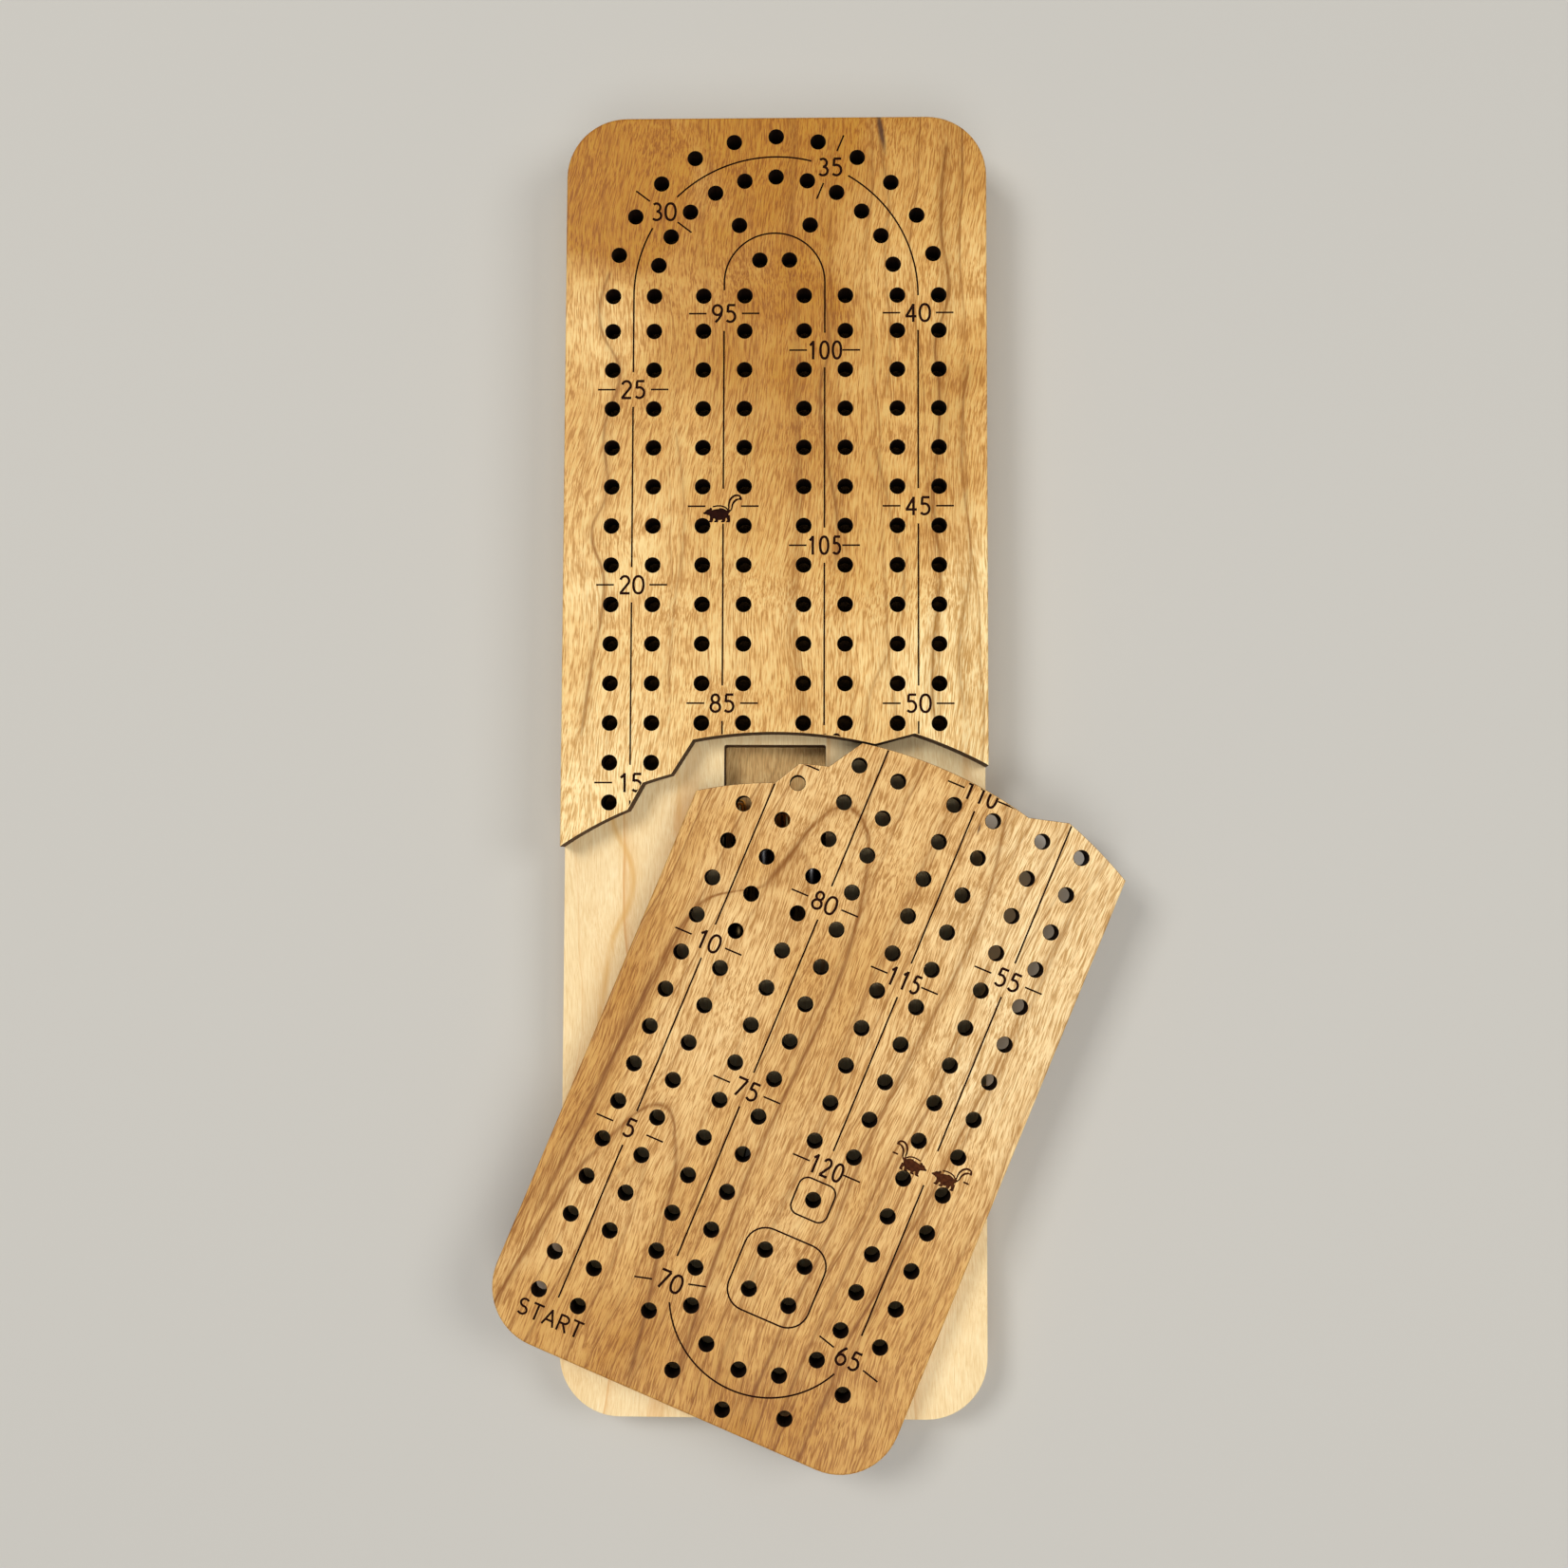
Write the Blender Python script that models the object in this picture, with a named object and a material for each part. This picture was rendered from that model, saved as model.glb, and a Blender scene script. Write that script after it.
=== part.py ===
"""Cribbage board with a swinging lid.

A flat laminated wooden board: a cherry back panel, a maple core with a peg
pocket cut through it, and a drilled cherry playing layer cut in two along a
line of concentric arcs.  The upper piece of the playing layer is fixed.  The
lower piece is a lid that swings on a concealed pivot screw and uncovers the
peg pocket, where four turned metal pegs lie.

Metres.  +Z is up, out of the playing face.  +Y runs along the board towards
the end with the half-round track.  The origin is the centre of the underside.
"""

import bpy
import bmesh
import math
from mathutils import Matrix, Vector
from mathutils.geometry import delaunay_2d_cdt

MM = 0.001

# ---------------------------------------------------------------- dimensions
BOARD_WIDTH = 88.9 * MM
BOARD_LENGTH = 273.05 * MM
CORNER_RADIUS = 12.7 * MM

GLUE_GAP = 0.3 * MM
BACK_THICKNESS = 3.2 * MM
CORE_THICKNESS = 6.35 * MM
PLATE_THICKNESS = 6.35 * MM

BACK_Z = (0.0, BACK_THICKNESS)
CORE_Z = (BACK_Z[1] + GLUE_GAP, BACK_Z[1] + GLUE_GAP + CORE_THICKNESS)
PLATE_Z = (CORE_Z[1] + GLUE_GAP, CORE_Z[1] + GLUE_GAP + PLATE_THICKNESS)

# Peg holes: two lanes (outer and inner) per street, on a regular pitch.
PITCH = 8.295 * MM
HOLE_RADIUS = 3.175 * MM / 2
HOLE_SIDES = 8
ROW_ZERO_Y = -1.11 * PITCH          # y of row 0
LANE_X = [(c - 4.138) * PITCH for c in
          (0.0, 1.051, 2.306, 3.354, 4.864, 5.911, 7.228, 8.276)]
TURN_ROW = 12.91                    # last row before the half-round track

# The cut between the fixed plate and the lid: arcs about the pivot.
PIVOT = Vector((0.0, -83.45 * MM))
ARC_RADII = (78.8 * MM, 82.95 * MM, 88.95 * MM, 93.35 * MM)
STEP_ANGLES = ((-22.69, -19.22), (-14.93, -10.92), (13.61, 18.21))  # degrees from +Y, clockwise
LID_KERF = 0.35 * MM
LID_REST_ANGLE = 22.62              # degrees clockwise from closed

# Peg pocket in the core
POCKET_HALF_WIDTH = 10.7 * MM
POCKET_Y = (-38.4 * MM, 3.3 * MM)

# Pivot hardware
SCREW_RADIUS = 2.0 * MM
SCREW_HEAD_RADIUS = 3.8 * MM
SCREW_CLEARANCE = 0.3 * MM
SCREW_TOP = 14.3 * MM
HEX_RADIUS = 1.45 * MM
HEX_DEPTH = 1.3 * MM
INSERT_RADIUS = 3.0 * MM
INSERT_Z = (10.45 * MM, 15.0 * MM)
WASHER_RADIUS = 6.0 * MM
WASHER_BORE = 2.4 * MM
WASHER_Z = (CORE_Z[1] - 0.6 * MM, CORE_Z[1])

# Pegs: distance from the head end and radius, in millimetres
PEG_PROFILE = ((0.0, 1.2), (0.4, 1.95), (1.2, 2.35), (3.2, 2.35), (4.2, 1.75),
               (5.2, 1.45), (6.6, 1.75), (9.5, 2.2), (14.0, 2.2), (20.5, 1.6),
               (21.5, 1.45), (28.8, 1.4), (30.0, 0.8))
PEG_LENGTH = 30.0 * MM
PEG_SPACING = 5.1 * MM
PEG_SIDES = 10
PEG_Z = BACK_Z[1] + GLUE_GAP + 2.35 * MM

# ---------------------------------------------------------------- scene reset
for stale in list(bpy.data.objects):
    bpy.data.objects.remove(stale, do_unlink=True)

scene = bpy.context.scene
scene.unit_settings.system = 'METRIC'


def material(name, colour, roughness, metallic=0.0):
    mat = bpy.data.materials.new(name)
    mat.use_nodes = True
    shader = mat.node_tree.nodes["Principled BSDF"]
    shader.inputs["Base Color"].default_value = (*colour, 1.0)
    shader.inputs["Roughness"].default_value = roughness
    shader.inputs["Metallic"].default_value = metallic
    mat.diffuse_color = (*colour, 1.0)
    return mat


CHERRY = material("cherry", (0.55, 0.30, 0.14), 0.5)
LID_CHERRY = material("cherry_lid", (0.50, 0.27, 0.12), 0.5)
BACK_CHERRY = material("cherry_back", (0.42, 0.22, 0.11), 0.55)
MAPLE = material("maple", (0.82, 0.66, 0.42), 0.5)
STEEL = material("steel", (0.62, 0.62, 0.63), 0.3, 1.0)
SCREW_STEEL = material("zinc_steel", (0.55, 0.56, 0.58), 0.35, 1.0)
BRASS = material("brass", (0.78, 0.57, 0.25), 0.3, 1.0)
NYLON = material("nylon", (0.85, 0.84, 0.80), 0.6)


# ---------------------------------------------------------------- shape tools
def add_object(name, mesh, mat, parent=None):
    obj = bpy.data.objects.new(name, mesh)
    scene.collection.objects.link(obj)
    if mat is not None:
        mesh.materials.clear()
        mesh.materials.append(mat)
    if parent is not None:
        obj.parent = parent
    return obj


def finish_mesh(name, bm, smooth_angle=None):
    bmesh.ops.remove_doubles(bm, verts=bm.verts, dist=1e-6)
    bmesh.ops.recalc_face_normals(bm, faces=bm.faces)
    mesh = bpy.data.meshes.new(name)
    bm.to_mesh(mesh)
    bm.free()
    if smooth_angle is not None:
        mesh.shade_smooth()
        mesh.set_sharp_from_angle(angle=math.radians(smooth_angle))
    return mesh


def arc(centre, radius, start, end, count):
    """Points on an arc, angles in degrees counter-clockwise from +X."""
    return [Vector((centre[0] + radius * math.cos(math.radians(start + (end - start) * i / count)),
                    centre[1] + radius * math.sin(math.radians(start + (end - start) * i / count))))
            for i in range(count + 1)]


def inside(point, loop):
    hit = False
    for a, b in zip(loop, loop[1:] + loop[:1]):
        if (a.y > point.y) != (b.y > point.y):
            if point.x < (b.x - a.x) * (point.y - a.y) / (b.y - a.y) + a.x:
                hit = not hit
    return hit


def plate_mesh(name, outline, holes, z_low, z_high, sides=HOLE_SIDES):
    """Flat plate: a counter-clockwise outline, with round holes through it."""
    loops = [list(outline)]
    for centre, radius in holes:
        ring = arc(centre, radius, 180.0 / sides, 180.0 / sides - 360.0, sides)[:-1]
        loops.append(ring)
    points, edges, index = [], [], []
    for loop in loops:
        base = len(points)
        points.extend(loop)
        ids = list(range(base, base + len(loop)))
        index.append(ids)
        edges.extend(zip(ids, ids[1:] + ids[:1]))
    flat, _, faces, origin, _, _ = delaunay_2d_cdt(points, edges, [], 0, 1e-9)
    where = {}
    for new, olds in enumerate(origin):
        for old in olds:
            where[old] = new
    kept = []
    for face in faces:
        middle = sum((flat[i] for i in face), Vector((0.0, 0.0))) / len(face)
        if not inside(middle, loops[0]):
            continue
        if any((middle - c).length < r * 0.999 and inside(middle, loops[k + 1])
               for k, (c, r) in enumerate(holes)):
            continue
        kept.append(face)
    bm = bmesh.new()
    low = [bm.verts.new((p.x, p.y, z_low)) for p in flat]
    high = [bm.verts.new((p.x, p.y, z_high)) for p in flat]
    for face in kept:
        bm.faces.new([high[i] for i in face])
        bm.faces.new([low[i] for i in reversed(face)])
    for ids in index:
        for a, b in zip(ids, ids[1:] + ids[:1]):
            a, b = where[a], where[b]
            bm.faces.new((low[a], low[b], high[b], high[a]))
    for loose in [v for v in bm.verts if not v.link_faces]:
        bm.verts.remove(loose)
    return finish_mesh(name, bm)


def turned_mesh(name, profile, sides, smooth_angle=40):
    """Solid of revolution about Z from (z, radius) pairs; zero radius closes an end."""
    bm = bmesh.new()
    rings = []
    for z, radius in profile:
        rings.append([bm.verts.new((radius * math.cos(2 * math.pi * k / sides),
                                    radius * math.sin(2 * math.pi * k / sides), z))
                      for k in range(sides)])
    for lower, upper in zip(rings, rings[1:]):
        for k in range(sides):
            n = (k + 1) % sides
            bm.faces.new((lower[k], lower[n], upper[n], upper[k]))
    bm.faces.new(list(reversed(rings[0])))
    bm.faces.new(rings[-1])
    return finish_mesh(name, bm, smooth_angle)


def tube_mesh(name, z_low, z_high, outer, inner, sides):
    bm = bmesh.new()
    rings = []
    for radius, z in ((outer, z_low), (outer, z_high), (inner, z_high), (inner, z_low)):
        rings.append([bm.verts.new((radius * math.cos(2 * math.pi * k / sides),
                                    radius * math.sin(2 * math.pi * k / sides), z))
                      for k in range(sides)])
    for a, b in zip(rings, rings[1:] + rings[:1]):
        for k in range(sides):
            n = (k + 1) % sides
            bm.faces.new((a[k], a[n], b[n], b[k]))
    return finish_mesh(name, bm, 40)


def cut(target, cutter_mesh, name, location=(0, 0, 0)):
    cutter = add_object(name, cutter_mesh, None)
    cutter.location = location
    cutter.parent = target.parent
    cutter.hide_render = True
    cutter.display_type = 'WIRE'
    boolean = target.modifiers.new(name, 'BOOLEAN')
    boolean.operation = 'DIFFERENCE'
    boolean.solver = 'EXACT'
    boolean.object = cutter
    return cutter


def box_mesh(name, low, high):
    bm = bmesh.new()
    bmesh.ops.create_cube(bm, size=1.0)
    size = [h - l for l, h in zip(low, high)]
    middle = [(h + l) / 2 for l, h in zip(low, high)]
    bmesh.ops.transform(bm, verts=bm.verts,
                        matrix=Matrix.Translation(middle) @ Matrix.Diagonal((*size, 1.0)))
    return finish_mesh(name, bm)


# ---------------------------------------------------------------- outlines
HALF_W = BOARD_WIDTH / 2
HALF_L = BOARD_LENGTH / 2


def rounded_rectangle(steps=6):
    points = []
    for cx, cy, start in ((HALF_W - CORNER_RADIUS, HALF_L - CORNER_RADIUS, 0),
                          (-HALF_W + CORNER_RADIUS, HALF_L - CORNER_RADIUS, 90),
                          (-HALF_W + CORNER_RADIUS, -HALF_L + CORNER_RADIUS, 180),
                          (HALF_W - CORNER_RADIUS, -HALF_L + CORNER_RADIUS, 270)):
        points += arc((cx, cy), CORNER_RADIUS, start, start + 90, steps)
    return points


def skyline(inset, step=3.0):
    """The cut from the left edge to the right edge, every radius smaller by inset."""
    def bearing(radius, degrees):
        return PIVOT + Vector((radius * math.sin(math.radians(degrees)),
                               radius * math.cos(math.radians(degrees))))
    limits = [(-math.degrees(math.asin(HALF_W / (ARC_RADII[0] - inset))), STEP_ANGLES[0][0]),
              (STEP_ANGLES[0][1], STEP_ANGLES[1][0]),
              (STEP_ANGLES[1][1], STEP_ANGLES[2][0]),
              (STEP_ANGLES[2][1], math.degrees(math.asin(HALF_W / (ARC_RADII[3] - inset))))]
    points = []
    for k, (start, end) in enumerate(limits):
        # a rising step is also shifted sideways, clockwise, by the same gap
        shift = math.degrees(inset / ARC_RADII[k])
        first = start if k == 0 else start + shift
        last = end if k == 3 else end + shift
        count = max(1, math.ceil((last - first) / step))
        for i in range(count + 1):
            points.append(bearing(ARC_RADII[k] - inset, first + (last - first) * i / count))
    return points


def fixed_plate_outline(steps=6):
    line = skyline(0.0)
    points = [Vector((HALF_W, line[-1].y))]
    points += arc((HALF_W - CORNER_RADIUS, HALF_L - CORNER_RADIUS), CORNER_RADIUS, 0, 90, steps)
    points += arc((-HALF_W + CORNER_RADIUS, HALF_L - CORNER_RADIUS), CORNER_RADIUS, 90, 180, steps)
    points += [Vector((-HALF_W, line[0].y))] + line[1:-1]
    return points


def lid_outline(steps=6):
    line = skyline(LID_KERF)
    points = [Vector((HALF_W, line[-1].y))] + list(reversed(line[1:-1])) + [Vector((-HALF_W, line[0].y))]
    points += arc((-HALF_W + CORNER_RADIUS, -HALF_L + CORNER_RADIUS), CORNER_RADIUS, 180, 270, steps)
    points += arc((HALF_W - CORNER_RADIUS, -HALF_L + CORNER_RADIUS), CORNER_RADIUS, 270, 360, steps)
    return points


# ---------------------------------------------------------------- peg holes
def row_y(row):
    return ROW_ZERO_Y + row * PITCH


def lane_holes(lane, first, last):
    return [Vector((LANE_X[lane], row_y(r))) for r in range(first, last + 1)]


def fixed_plate_holes():
    holes = lane_holes(0, 0, 12) + lane_holes(1, 1, 12)
    for lane in range(2, 8):
        holes += lane_holes(lane, 2, 12)
    holes += [Vector((x, row_y(TURN_ROW))) for x in LANE_X]
    # half-round track round the top end, a hole every 15 degrees
    for radius in (LANE_X[7], (LANE_X[6] - LANE_X[1]) / 2):
        holes += arc((0.0, row_y(TURN_ROW)), radius, 165, 15, 10)
    # small return arch between the two inner streets
    middle = (LANE_X[2] + LANE_X[5]) / 2
    for radius in ((LANE_X[5] - LANE_X[2]) / 2, (LANE_X[4] - LANE_X[3]) / 2):
        holes += arc((middle, row_y(13.18)), radius, 120, 60, 1)
    return holes


def lid_holes():
    holes = lane_holes(0, -14, -1) + lane_holes(1, -14, 0)
    for lane in (2, 3, 6, 7):
        holes += lane_holes(lane, -12, 1)
    for lane in (4, 5):
        holes += lane_holes(lane, -8, 1)
    # U-turn at the bottom end, a hole every 30 degrees
    middle = (LANE_X[2] + LANE_X[7]) / 2
    for radius in ((LANE_X[7] - LANE_X[2]) / 2, (LANE_X[6] - LANE_X[3]) / 2):
        holes += arc((middle, row_y(-11.92)), radius, 210, 330, 4)
    # finishing hole, and the square of four games-won holes
    holes.append(Vector(((LANE_X[4] + LANE_X[5]) / 2, row_y(-9.35))))
    for dx in (-0.527, 0.527):
        for dy in (-0.515, 0.515):
            holes.append(Vector((middle + dx * PITCH, row_y(-11.44 + dy))))
    return holes


# ---------------------------------------------------------------- fixed body
back_panel = add_object("back_panel", plate_mesh("back_panel", rounded_rectangle(), [], *BACK_Z),
                        BACK_CHERRY)
countersink = turned_mesh("countersink",
                          [(-1.0 * MM, SCREW_HEAD_RADIUS + 0.35 * MM),
                           (0.5 * MM, SCREW_HEAD_RADIUS + 0.35 * MM),
                           (2.35 * MM, SCREW_RADIUS + SCREW_CLEARANCE),
                           (BACK_Z[1] + 1.0 * MM, SCREW_RADIUS + SCREW_CLEARANCE)], 20)
cut(back_panel, countersink, "cut_countersink", (PIVOT.x, PIVOT.y, 0.0))

maple_core = add_object("maple_core", plate_mesh("maple_core", rounded_rectangle(), [], *CORE_Z),
                        MAPLE)
cut(maple_core, box_mesh("pocket", (-POCKET_HALF_WIDTH, POCKET_Y[0], CORE_Z[0] - MM),
                         (POCKET_HALF_WIDTH, POCKET_Y[1], CORE_Z[1] + MM)), "cut_pocket")
core_bore = turned_mesh("core_bore",
                        [(CORE_Z[0] - MM, SCREW_RADIUS + SCREW_CLEARANCE),
                         (WASHER_Z[0] - GLUE_GAP, SCREW_RADIUS + SCREW_CLEARANCE),
                         (WASHER_Z[0] - GLUE_GAP, WASHER_RADIUS + GLUE_GAP),
                         (CORE_Z[1] + MM, WASHER_RADIUS + GLUE_GAP)], 20)
cut(maple_core, core_bore, "cut_core_bore", (PIVOT.x, PIVOT.y, 0.0))

thrust_washer = add_object("thrust_washer",
                           tube_mesh("thrust_washer", *WASHER_Z, WASHER_RADIUS, WASHER_BORE, 20), NYLON)
thrust_washer.location = (PIVOT.x, PIVOT.y, 0.0)

fixed_plate = add_object("fixed_track_plate",
                         plate_mesh("fixed_track_plate", fixed_plate_outline(),
                                    [(h, HOLE_RADIUS) for h in fixed_plate_holes()], *PLATE_Z), CHERRY)

# ---------------------------------------------------------------- swinging body
lid_pivot = bpy.data.objects.new("lid_pivot", None)
scene.collection.objects.link(lid_pivot)
lid_pivot.location = (PIVOT.x, PIVOT.y, 0.0)
lid_pivot.rotation_euler = (0.0, 0.0, math.radians(-LID_REST_ANGLE))

swing_lid = add_object("swing_lid",
                       plate_mesh("swing_lid", [p - PIVOT for p in lid_outline()],
                                  [(h - PIVOT, HOLE_RADIUS) for h in lid_holes()], *PLATE_Z),
                       LID_CHERRY, lid_pivot)
insert_hole = turned_mesh("insert_hole",
                          [(PLATE_Z[0] - MM, INSERT_RADIUS + GLUE_GAP),
                           (INSERT_Z[1] + GLUE_GAP, INSERT_RADIUS + GLUE_GAP)], 20)
cut(swing_lid, insert_hole, "cut_insert_hole")

threaded_insert = add_object("threaded_insert",
                             tube_mesh("threaded_insert", *INSERT_Z, INSERT_RADIUS,
                                       SCREW_RADIUS + SCREW_CLEARANCE, 20), BRASS, lid_pivot)
pivot_screw = add_object("pivot_screw",
                         turned_mesh("pivot_screw",
                                     [(0.3 * MM, SCREW_HEAD_RADIUS), (0.5 * MM, SCREW_HEAD_RADIUS),
                                      (2.3 * MM, SCREW_RADIUS), (SCREW_TOP - 0.4 * MM, SCREW_RADIUS),
                                      (SCREW_TOP, SCREW_RADIUS - 0.4 * MM)], 20), SCREW_STEEL, lid_pivot)
cut(pivot_screw, turned_mesh("hex_socket", [(-MM, HEX_RADIUS), (0.3 * MM + HEX_DEPTH, HEX_RADIUS)], 6),
    "cut_hex_socket")

# ---------------------------------------------------------------- pegs
for k, (name, mat) in enumerate((("brass_peg_1", BRASS), ("steel_peg_1", STEEL),
                                 ("brass_peg_2", BRASS), ("steel_peg_2", STEEL))):
    x = (k - 1.5) * PEG_SPACING
    profile = [(z * MM, r * MM) for z, r in PEG_PROFILE]
    if k % 2:       # neighbours lie head to tip
        profile = [(PEG_LENGTH - z, r) for z, r in reversed(profile)]
    peg = add_object(name, turned_mesh(name, profile, PEG_SIDES), mat)
    peg.rotation_euler = (math.radians(-90), 0.0, 0.0)      # the turning axis lies along +Y
    peg.location = (x, POCKET_Y[0] + GLUE_GAP, PEG_Z)
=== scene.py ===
import math

import bmesh
import bpy
import numpy as np
from mathutils import Matrix, Vector
from mathutils.geometry import delaunay_2d_cdt


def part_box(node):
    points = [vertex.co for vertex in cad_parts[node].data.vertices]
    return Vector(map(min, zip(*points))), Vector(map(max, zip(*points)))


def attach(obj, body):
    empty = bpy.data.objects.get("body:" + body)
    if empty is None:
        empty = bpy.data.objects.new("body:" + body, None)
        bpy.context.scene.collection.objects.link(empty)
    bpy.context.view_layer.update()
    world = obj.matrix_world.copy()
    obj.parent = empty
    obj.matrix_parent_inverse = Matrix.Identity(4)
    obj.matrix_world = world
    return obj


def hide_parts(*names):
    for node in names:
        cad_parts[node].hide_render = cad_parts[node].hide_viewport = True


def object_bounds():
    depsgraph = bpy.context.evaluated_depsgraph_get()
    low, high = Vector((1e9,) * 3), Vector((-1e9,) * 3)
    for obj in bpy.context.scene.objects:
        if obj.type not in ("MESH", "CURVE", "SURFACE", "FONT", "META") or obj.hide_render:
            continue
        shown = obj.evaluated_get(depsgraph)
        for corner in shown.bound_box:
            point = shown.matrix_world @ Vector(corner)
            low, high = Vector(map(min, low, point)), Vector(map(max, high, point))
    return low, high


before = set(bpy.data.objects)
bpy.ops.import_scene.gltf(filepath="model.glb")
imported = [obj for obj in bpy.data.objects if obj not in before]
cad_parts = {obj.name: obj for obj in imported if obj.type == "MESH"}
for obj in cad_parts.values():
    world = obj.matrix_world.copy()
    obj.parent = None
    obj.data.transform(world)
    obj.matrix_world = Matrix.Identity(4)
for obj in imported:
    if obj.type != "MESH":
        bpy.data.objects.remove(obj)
CAD_BOX = [[float(c) for c in corner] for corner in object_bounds()]

# Lengths below are millimetres in the board's own frame; meshes are written in metres.
MM = 0.001

# ------------------------------------------------------------------ the board's design, as in the CAD
HALF_W, HALF_L, CORNER = 44.45, 136.525, 12.7
PITCH = 8.295
HOLE_R = 3.175 / 2
ROW0 = -1.11 * PITCH
LANE = [(c - 4.138) * PITCH for c in (0.0, 1.051, 2.306, 3.354, 4.864, 5.911, 7.228, 8.276)]
TURN_ROW = 12.91
ARCH_ROW = 13.18
UTURN_ROW = -11.92
PIVOT = Vector((0.0, -83.45))
ARCS = (78.8, 82.95, 88.95, 93.35)
STEPS = ((-22.69, -19.22), (-14.93, -10.92), (13.61, 18.21))
KERF = 0.35
LID_ANGLE = math.radians(-22.62)
POCKET = (-10.7, 10.7, -38.4, 3.3)

Z_BACK = [c.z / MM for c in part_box("back_panel")]
Z_CORE = [c.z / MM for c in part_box("maple_core")]
Z_PLATE = [c.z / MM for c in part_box("fixed_track_plate")]
Z_LID = [c.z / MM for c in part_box("swing_lid")]

STREET = [(LANE[a] + LANE[a + 1]) / 2 for a in (0, 2, 4, 6)]
UTURN_X = (LANE[2] + LANE[7]) / 2


def row(r):
    return ROW0 + r * PITCH


# ------------------------------------------------------------------ plane geometry
def arc(cx, cy, rx, start, end, count, ry=None):
    ry = rx if ry is None else ry
    return [Vector((cx + rx * math.cos(math.radians(start + (end - start) * i / count)),
                    cy + ry * math.sin(math.radians(start + (end - start) * i / count))))
            for i in range(count + 1)]


def skyline(inset, step=1.0):
    """Points and edge kinds of the cut, left to right."""
    def bearing(radius, degrees):
        return PIVOT + Vector((radius * math.sin(math.radians(degrees)), radius * math.cos(math.radians(degrees))))
    limits = [(-math.degrees(math.asin(HALF_W / (ARCS[0] - inset))), STEPS[0][0]),
              (STEPS[0][1], STEPS[1][0]), (STEPS[1][1], STEPS[2][0]),
              (STEPS[2][1], math.degrees(math.asin(HALF_W / (ARCS[3] - inset))))]
    points = []
    for k, (start, end) in enumerate(limits):
        shift = math.degrees(inset / ARCS[k])
        first = start if k == 0 else start + shift
        last = end if k == 3 else end + shift
        count = max(1, math.ceil((last - first) / step))
        points += [bearing(ARCS[k] - inset, first + (last - first) * i / count) for i in range(count + 1)]
    return points


def corner_arcs(which, steps=14):
    centres = {"tr": (HALF_W - CORNER, HALF_L - CORNER, 0), "tl": (-HALF_W + CORNER, HALF_L - CORNER, 90),
               "bl": (-HALF_W + CORNER, -HALF_L + CORNER, 180), "br": (HALF_W - CORNER, -HALF_L + CORNER, 270)}
    points = []
    for key in which:
        cx, cy, start = centres[key]
        points += arc(cx, cy, CORNER, start, start + 90, steps)
    return points


def board_outline():
    points = corner_arcs(("tr", "tl", "bl", "br"))
    return points, ["side"] * len(points)


def plate_outline():
    line = skyline(0.0)
    points = [Vector((HALF_W, line[-1].y))] + corner_arcs(("tr", "tl")) + [Vector((-HALF_W, line[0].y))]
    kinds = ["side"] * (len(points) - 1)
    kinds += ["cut"] * (len(line) - 1)
    points += line[1:-1]
    return points, kinds


def lid_outline():
    line = skyline(KERF)
    top = list(reversed(line))
    top[0] = Vector((HALF_W, line[-1].y))
    top[-1] = Vector((-HALF_W, line[0].y))
    kinds = ["cut"] * (len(top) - 1)
    low = corner_arcs(("bl", "br"))
    kinds += ["side"] * (len(low) + 1)
    return top + low, kinds


def offset_loop(points, kinds, amounts):
    """Moves every edge inwards by its kind's amount; the loop runs counter-clockwise."""
    count = len(points)
    out = []
    for i in range(count):
        a, b, c = points[i - 1], points[i], points[(i + 1) % count]
        d1, d2 = (b - a).normalized(), (c - b).normalized()
        n1, n2 = Vector((-d1.y, d1.x)), Vector((-d2.y, d2.x))
        o1, o2 = amounts[kinds[i - 1]], amounts[kinds[i]]
        det = n1.x * n2.y - n1.y * n2.x
        if abs(det) < 0.02:
            out.append(b + (n1 + n2).normalized() * (o1 + o2) / 2)
        else:
            out.append(b + Vector(((o1 * n2.y - o2 * n1.y) / det, (n1.x * o2 - n2.x * o1) / det)))
    return out


def drops(kinds, amounts):
    """How far each point of a ring lies below the face: the smaller of its two edges' values."""
    return [min(amounts[kinds[i - 1]], amounts[kinds[i]]) for i in range(len(kinds))]


def ribbon(points, width, closed=False, widths=None):
    """The outline of a stroke: one loop, or two when the stroke closes on itself."""
    pts = [Vector(p) for p in points]
    n = len(pts)
    left, right = [], []
    for i, p in enumerate(pts):
        if closed:
            a, c = pts[i - 1], pts[(i + 1) % n]
        else:
            a, c = pts[max(i - 1, 0)], pts[min(i + 1, n - 1)]
        d1 = (p - a).normalized() if (p - a).length > 1e-9 else (c - p).normalized()
        d2 = (c - p).normalized() if (c - p).length > 1e-9 else d1
        bis = d1 + d2
        bis.normalize()
        normal = Vector((-bis.y, bis.x))
        cosine = max(0.35, normal.dot(Vector((-d1.y, d1.x))))
        w = (widths[i] if widths else width) / 2
        left.append(p + normal * w / cosine)
        right.append(p - normal * w / cosine)
    if closed:
        return [left, right]
    return [left + right[::-1]]


def inside_many(px, py, loop):
    hit = np.zeros(len(px), bool)
    xs = np.array([p.x for p in loop])
    ys = np.array([p.y for p in loop])
    for x1, y1, x2, y2 in zip(xs, ys, np.roll(xs, -1), np.roll(ys, -1)):
        if y1 == y2:
            continue
        cross = ((y1 > py) != (y2 > py)) & (px < (x2 - x1) * (py - y1) / (y2 - y1) + x1)
        hit ^= cross
    return hit


# ------------------------------------------------------------------ engraving
INK = 0.54          # stroke width of the figures
RULE = 0.36         # stroke width of the rules
shapes = []         # every engraved shape: a list of loops, read by the even-odd rule


def add_stroke(points, width, closed=False, widths=None):
    shapes.append(ribbon(points, width, closed, widths))


def add_area(loop):
    shapes.append([[Vector(p) for p in loop]])


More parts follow.
